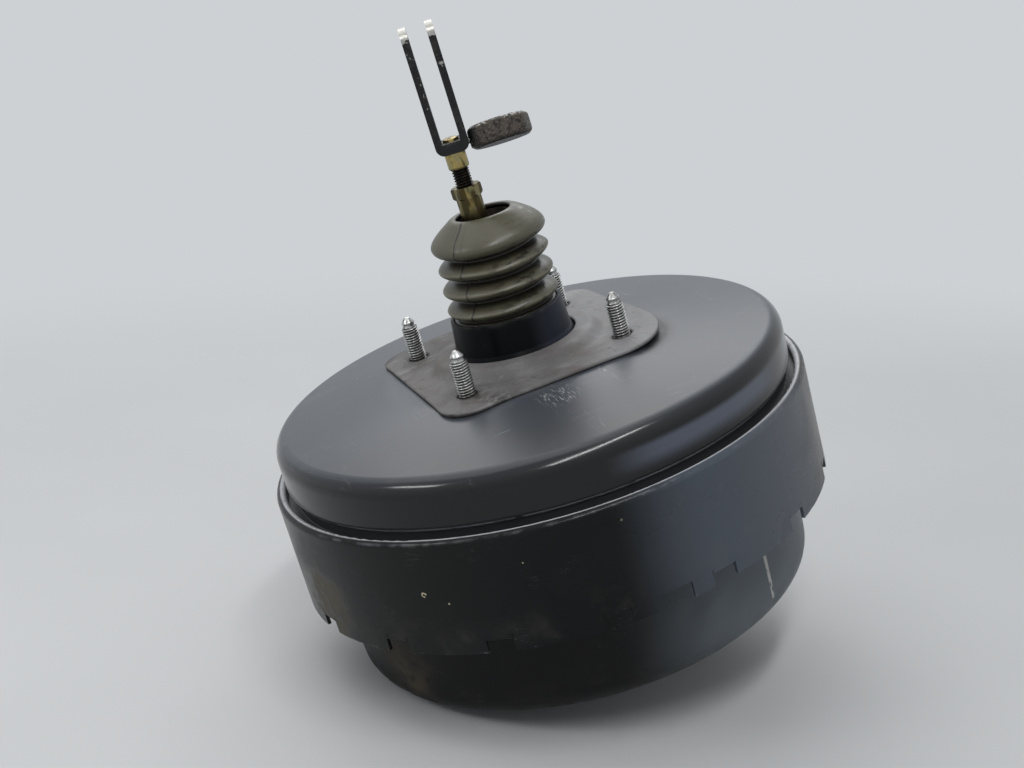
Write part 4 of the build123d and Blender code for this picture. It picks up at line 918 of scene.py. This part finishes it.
def seal_rubber():
    """Black nitrile rubber with grease film and a fine mould texture."""
    rubber = Finish("seal_rubber", gloss=0.4)
    grease = rubber.patches(0.46, 0.66, 6.0, 4.0)
    rubber.ground(rubber.cloud(3.0, 4.0), (22, 22, 23), (36, 36, 36))
    rubber.coat(grease, 0.3, 74, 66, 48)
    return rubber.lay(rubber.level(grease, 0.62, 0.30), rubber.grain(0.03, 0.5, 3.0))


def nylon():
    """Cream nylon, rubbed shiny where it guides and tinted by grease."""
    plastic = Finish("guide_nylon", gloss=0.5, Subsurface_Weight=0.1)
    tinted = plastic.patches(0.42, 0.66, 8.0, 4.0)
    plastic.ground(tinted, (206, 198, 176), (170, 154, 118))
    return plastic.lay(plastic.level(tinted, 0.46, 0.32), plastic.grain(0.02, 0.9, 2.0))


bead_rubber = seal_rubber()
wear(nylon(), "rear_bearing")
wear(bead_rubber, "rear_seal", "centre_seal", "front_rod_seal", "valve_grommet")
wear(pressed_steel, "rear_seal_retainer", "centre_plate", "centre_seal_retainer")


# --- Valve body, plunger and key -------------------------------------------------------------
# Glass-filled phenolic moulding that carries both diaphragm plates and holds the control valve,
# with a turned steel plunger and the flat steel key that limits its travel.

def phenolic():
    """Brown-black phenolic with glass flecks and pale polished sliding faces."""
    resin = Finish("valve_body_resin", gloss=0.5)
    flecks = resin.share(resin.grains(1.1), 0.16, 0.08)
    slid = resin.patches(0.52, 0.66, 2.0, 3.0, (1, 1, 9))
    resin.ground(resin.cloud(9.0, 4.0), (34, 29, 25), (50, 43, 36))
    resin.coat(flecks, 0.35, 120, 108, 90)
    resin.coat(slid, 0.25, 92, 86, 76)
    return resin.lay(resin.level(slid, 0.46, 0.28), resin.grain(0.02, 0.8, 3.0))


def turned_steel():
    """Ground steel with fine turning rings along the axis and an oil tint."""
    steel = Finish("turned_steel", metal=1.0)
    rings = steel.cloud(0.5, 2.0, (30, 30, 1))
    oil = steel.patches(0.48, 0.68, 5.0, 4.0)
    steel.ground(rings, (150, 149, 146), (184, 183, 180))
    steel.coat(oil, 0.5, 108, 92, 66)
    return steel.lay(steel.level(oil, 0.24, 0.38), steel.relief(rings, 0.015))


ground_steel = turned_steel()
wear(phenolic(), "valve_body")
wear(ground_steel, "valve_plunger", "stop_key")


# --- Poppet, springs and air filter ----------------------------------------------------------
# The control seal is a soft moulded sleeve held by a steel ring. Coiled wire springs bring back
# the poppet, the rod, the piston and the check disc, and a ring of felt cleans the air drawn in.

def spring_wire():
    """Drawn spring wire: dark oil-hardened skin with drawing lines and bright contact spots."""
    wire = Finish("spring_wire", metal=1.0)
    spots = wire.patches(0.56, 0.70, 1.6, 5.0)
    wire.ground(wire.cloud(3.0, 3.0), (72, 70, 68), (104, 101, 97))
    wire.coat(spots, 0.6, 168, 166, 162)
    return wire.lay(wire.level(spots, 0.42, 0.26), wire.grain(0.02, 0.4, 3.0))


def felt():
    """Grey wool felt: matted fibres and brown dust drawn in with the air."""
    wool = Finish("filter_felt", gloss=0.15, Sheen_Weight=0.3)
    mat = wool.cloud(0.5, 6.0)
    dust = wool.patches(0.40, 0.66, 5.0, 4.0)
    wool.ground(mat, (96, 93, 88), (150, 146, 140))
    wool.coat(dust, 0.5, 92, 78, 60)
    return wool.lay(wool.level(dust, 0.95, 0.88), wool.relief(mat, 0.35))


coil_wire = spring_wire()
wear(bead_rubber, "poppet_seal")
wear(pressed_steel, "poppet_retainer")
wear(coil_wire, "poppet_spring")


def coil_points(low, high, low_radius, high_radius, wire, turns, centre=(0.0, 0.0), sides=12):
    """Round wire on the helix (R cos a, R sin a, low + wire + (high - low - 2 wire) s) with a = 2 pi turns s
    and R going from low_radius to high_radius. Its two ends are drawn in to a point."""
    share = np.linspace(0, 1, turns * 36 + 1)
    angle = 2 * np.pi * turns * share
    radius = low_radius + (high_radius - low_radius) * share
    height = low + wire + (high - low - 2 * wire) * share
    line = np.stack([radius * np.cos(angle) + centre[0], radius * np.sin(angle) + centre[1], height], -1)
    along = np.gradient(line, axis=0)
    along /= np.linalg.norm(along, axis=1, keepdims=True)
    outward = np.stack([np.cos(angle), np.sin(angle), 0 * angle], -1)
    upward = np.cross(outward, along)
    upward /= np.linalg.norm(upward, axis=1, keepdims=True)
    outward = np.cross(along, upward)
    turn = np.linspace(0, 2 * np.pi, sides, endpoint=False)[None, :, None]
    rows = line[:, None] + wire * (np.cos(turn) * outward[:, None] + np.sin(turn) * upward[:, None])
    ends = np.repeat(line[[0, -1], None], sides, axis=1)
    return np.concatenate([ends[:1], rows, ends[1:]])


def press(piece):
    """Gives a soft piece a mesh of its own."""
    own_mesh(piece)


def coil_spring(node, body, joint, anchor_height, keep, **coil):
    """A spring drawn in the place of a CAD node."""
    spring = grid_mesh("coiled_" + node, coil_points(**coil))
    fit(spring, node, body, coil_wire)
    press(spring)


coil_spring("return_spring", "housing", "piston_slide", anchor_height=-124.0, keep=0.48,
            low=-123.9, high=-62.1, low_radius=26.0, high_radius=26.0, wire=1.8, turns=6)
coil_spring("rod_return_spring", "power_piston", "plunger_slide", anchor_height=12.5, keep=0.91,
            low=12.6, high=33.5, low_radius=10.0, high_radius=7.4, wire=0.8, turns=4)
coil_spring("check_spring", "check_valve", "check_disc_slide", anchor_height=-145.0, keep=0.89,
            low=-144.9, high=-133.8, low_radius=4.6, high_radius=4.6, wire=0.4, turns=3,
            centre=(48.05, 57.26))
wear(felt(), "air_filter")


# --- Diaphragms and their plates -------------------------------------------------------------
# Two fabric-backed rubber diaphragms, each lying on a pressed steel plate that pushes the valve
# body. The front plate is held by a lock ring.

def diaphragm_cloth():
    """Black rubber over a fine cloth weave, with talc left in the roll."""
    cloth = Finish("diaphragm_cloth", gloss=0.3)
    warp, weft = (cloth.sums("SINE", cloth.sums("MULTIPLY", way, 5.2)) for way in (cloth.x, cloth.y))
    weave = cloth.share(cloth.sums("MULTIPLY", warp, weft), -1.0, 1.0)
    talc = cloth.patches(0.48, 0.70, 14.0, 5.0)
    cloth.ground(weave, (24, 24, 25), (40, 40, 41))
    cloth.coat(talc, 0.4, 128, 126, 120)
    return cloth.lay(cloth.level(talc, 0.60, 0.85), cloth.relief(weave, 0.08))


def turned_section(section, cuts, sides=160):
    """Closed (radius, height) section turned about Z. Corner P is bent along P + c ((1 - t)^2 u + t^2 v),
    where c is its cut and u and v point to the corners before and after it."""
    corner = np.array(section, float)
    before, after = np.roll(corner, 1, axis=0) - corner, np.roll(corner, -1, axis=0) - corner
    before /= np.linalg.norm(before, axis=1, keepdims=True)
    after /= np.linalg.norm(after, axis=1, keepdims=True)
    share = np.linspace(0, 1, 6)[None, :, None]
    bend = (1 - share) ** 2 * before[:, None] + share ** 2 * after[:, None]
    radius, height = (corner[:, None] + np.array(cuts)[:, None, None] * bend).reshape(-1, 2).T[:, :, None]
    turn = np.linspace(0, 2 * np.pi, sides, endpoint=False)
    return np.stack([radius * np.cos(turn), radius * np.sin(turn), height + 0 * turn], -1)


# The rear diaphragm lies flat on its plate, rolls over and goes down the shell to its clamped bead.
rear_section = [(22.2, -11.7), (22.2, -9.25), (25.8, -9.25), (25.8, -10.35), (61.2, -10.35), (65.6, -8.15),
                (97.0, -8.15), (107.1, -8.75), (114.6, -17.15), (114.6, -39.5), (119.0, -39.5),
                (119.0, -38.9), (125.0, -38.9), (125.0, -41.9), (119.0, -41.9), (119.0, -40.9),
                (113.2, -40.9), (113.2, -17.7), (106.5, -10.15), (97.0, -9.55), (66.1, -9.55), (61.7, -11.7)]
rear_cuts = [0.4, 0.5, 0.5, 0.3, 1.5, 1.5, 4.0, 4.0, 4.0, 0.6, 0.25, 0.25, 0.7, 0.7, 0.4, 0.4, 1.2, 3.5, 3.5,
             3.5, 1.0, 1.0]
cloth_rubber = diaphragm_cloth()
rear_sheet = grid_mesh("rolling_rear_diaphragm", turned_section(rear_section, rear_cuts), wrap_rows=True)
fit(rear_sheet, "rear_diaphragm", "housing", cloth_rubber)
press(rear_sheet)

# The front one slopes from its bead up to the rim of its plate.
front_section = [(21.4, -60.7), (21.4, -58.25), (25.0, -58.25), (25.0, -59.35), (61.0, -59.35),
                 (65.4, -54.95), (97.0, -54.95), (101.8, -55.2), (115.15, -72.5), (119.0, -72.5),
                 (119.0, -71.9), (125.0, -71.9), (125.0, -74.9), (119.0, -74.9), (119.0, -73.9),
                 (114.5, -73.9), (100.9, -56.35), (97.0, -56.35), (66.0, -56.35), (61.6, -60.7)]
front_cuts = [0.4, 0.5, 0.5, 0.3, 1.5, 1.5, 1.5, 2.0, 0.8, 0.25, 0.25, 0.7, 0.7, 0.4, 0.4, 1.2, 1.2, 1.2, 1.0,
              1.0]
front_sheet = grid_mesh("rolling_front_diaphragm", turned_section(front_section, front_cuts), wrap_rows=True)
front_sheet.data.materials.append(cloth_rubber)
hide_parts("front_diaphragm")
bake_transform(front_sheet)
wear(pressed_steel, "rear_plate", "front_plate", "plate_lock_ring", "rod_retainer")


# --- Reaction disc and output rod ------------------------------------------------------------
# A rubber disc in the nose of the valve body passes the force to a steel rod, whose end takes
# an adjusting screw with a hexagon and a rounded nose.

def rod_tip_steel():
    """Hardened screw: blued flanks and a polished nose."""
    steel = Finish("rod_tip_steel", metal=1.0)
    nose = steel.rise(-135.0, -138.5)
    steel.ground(steel.cloud(4.0, 4.0), (70, 74, 84), (112, 108, 104))
    steel.coat(nose, 1, 192, 191, 188)
    return steel.lay(steel.level(nose, 0.36, 0.18), steel.grain(0.02, 0.6, 3.0))


wear(bead_rubber, "reaction_disc", "check_disc")
wear(ground_steel, "output_rod")
wear(rod_tip_steel(), "output_rod_tip")


# --- Check valve -----------------------------------------------------------------------------
# Moulded nylon elbow that pushes into the rubber grommet on the front shell. A barrel holds the
# disc and its spring, and the ribbed end takes the vacuum hose.

def valve_nylon():
    """Black glass-filled nylon: satin skin, flow marks, hose rubbing on the bead and dust."""
    plastic = Finish("valve_nylon", gloss=0.45)
    flow = plastic.cloud(7.0, 3.0, (1, 1, 3))
    bead = plastic.share(plastic.radius, 102.0, 104.0)
    dust = plastic.patches(0.46, 0.70, 4.0, 5.0)
    plastic.ground(flow, (26, 26, 28), (38, 38, 40))
    plastic.coat(bead, 0.25, 92, 92, 92)
    plastic.coat(dust, 0.25, 120, 114, 104)
    return plastic.lay(plastic.level(dust, 0.40, 0.66), plastic.grain(0.03, 0.8, 3.0))


wear(valve_nylon(), "check_valve_body")


# --- Floor, light and camera -----------------------------------------------------------------
# The booster rests on the edge of its front shell and on its two front studs, so the pale floor
# lies askew to its axis. Two broad lamps and two narrow strips light it, in an even pale surround.

floor_normal = Vector((0.27153, 0.0, 0.96243)).normalized()
floor_drop = -0.1512
floor_half = 3.0
floor_fade = 480.0, 1150.0
floor_along = Vector((0, 1, 0)).cross(floor_normal).normalized()
floor_centre = floor_normal * floor_drop
floor_corners = [floor_centre + floor_along * (a * floor_half) + Vector((0, b * floor_half, 0))
                 for a, b in ((-1, -1), (1, -1), (1, 1), (-1, 1))]
floor_mesh = bpy.data.meshes.new("floor")
floor_mesh.from_pydata([tuple(corner) for corner in floor_corners], [], [(0, 1, 2, 3)])
floor = bpy.data.objects.new("floor", floor_mesh)
bpy.context.scene.collection.objects.link(floor)

floor_paint = Finish("floor_paint", gloss=0.2)
mottle = floor_paint.cloud(260.0, 3.0)
floor_paint.ground(mottle, (188, 189, 190), (198, 199, 200))
floor_paint.lay(floor_paint.level(mottle, 0.80, 0.90))
backdrop, backdrop_light = (0.925, 0.965, 1.0, 1.0), 0.66
look = floor_paint.node("LightPath", {}, []).outputs
seen = floor_paint.either(look["Is Camera Ray"], look["Is Glossy Ray"], look["Is Transmission Ray"])
far = floor_paint.share(floor_paint.vector("LENGTH", floor_paint.place), *floor_fade)
haze = floor_paint.node("Emission", {}, [backdrop, backdrop_light])
faded = floor_paint.node("MixShader", {}, [floor_paint.both(far, seen), floor_paint.shader.outputs[0],
                                           haze.outputs[0]])
see_through = floor_paint.node("BsdfTransparent", {}, [])
behind = floor_paint.node("NewGeometry", {}, []).outputs["Backfacing"]
one_sided = floor_paint.node("MixShader", {}, [behind, faded.outputs[0], see_through.outputs[0]])
floor_paint.tree.links.new(one_sided.outputs[0], floor_paint.tree.nodes["Material Output"].inputs["Surface"])
floor_mesh.materials.append(floor_paint.material)

surround = bpy.data.worlds.new("surround")
surround.use_nodes = True
bpy.context.scene.world = surround
tree = surround.node_tree
rays = tree.nodes.new("ShaderNodeLightPath").outputs
in_view = rays["Is Camera Ray"]
for kind in ("Is Glossy Ray", "Is Transmission Ray"):
    larger = tree.nodes.new("ShaderNodeMath")
    larger.operation = "MAXIMUM"
    tree.links.new(in_view, larger.inputs[0])
    tree.links.new(rays[kind], larger.inputs[1])
    in_view = larger.outputs[0]
strength = tree.nodes.new("ShaderNodeMapRange")
tree.links.new(in_view, strength.inputs["Value"])
strength.inputs["To Min"].default_value = 0.45
strength.inputs["To Max"].default_value = backdrop_light
sky = tree.nodes["Background"]
sky.inputs["Color"].default_value = backdrop
tree.links.new(strength.outputs[0], sky.inputs["Strength"])


def lamp(name, place, along, length, width, power):
    """Soft lamp of length by width, aimed at the middle of the booster, with its length laid along."""
    light = bpy.data.lights.new(name, "AREA")
    light.shape = "RECTANGLE"
    light.size, light.size_y = length, width
    light.energy = power
    back = Vector(place).normalized()
    across = back.cross(Vector(along)).normalized()
    holder = bpy.data.objects.new(name, light)
    aim = Matrix((across.cross(back), across, back)).transposed().to_4x4()
    holder.matrix_world = Matrix.Translation(place) @ aim
    holder.visible_camera = False
    bpy.context.scene.collection.objects.link(holder)


lamp("ceiling", (-0.05, 0.35, 1.50), (1, 0, 0), 1.3, 1.3, 5.5)
lamp("near strip", (0.14, -0.84, 1.11), (0.75, 0.65, 0.25), 1.2, 0.10, 8.5)
lamp("left strip", (-0.95, -0.10, 0.90), (0, 1, 0), 0.45, 0.10, 2.2)
lamp("back wall", (0.60, 1.20, 1.05), (1, 0, 0), 1.5, 0.9, 9.5)

camera_data = bpy.data.cameras.new("camera")
camera_data.lens = 53.4375
camera_data.sensor_width = 36.0
camera = bpy.data.objects.new("camera", camera_data)
right, up, forward = (0.90459, -0.33895, -0.25851), (0.34582, 0.22895, 0.90994), (0.24924, 0.91252, -0.32432)
turned = Matrix((right, up, [-way for way in forward])).transposed().to_4x4()
camera.matrix_world = Matrix.Translation((-0.18417, -0.64837, 0.21587)) @ turned
bpy.context.scene.collection.objects.link(camera)
bpy.context.scene.camera = camera
bpy.context.scene.view_settings.view_transform = "Standard"
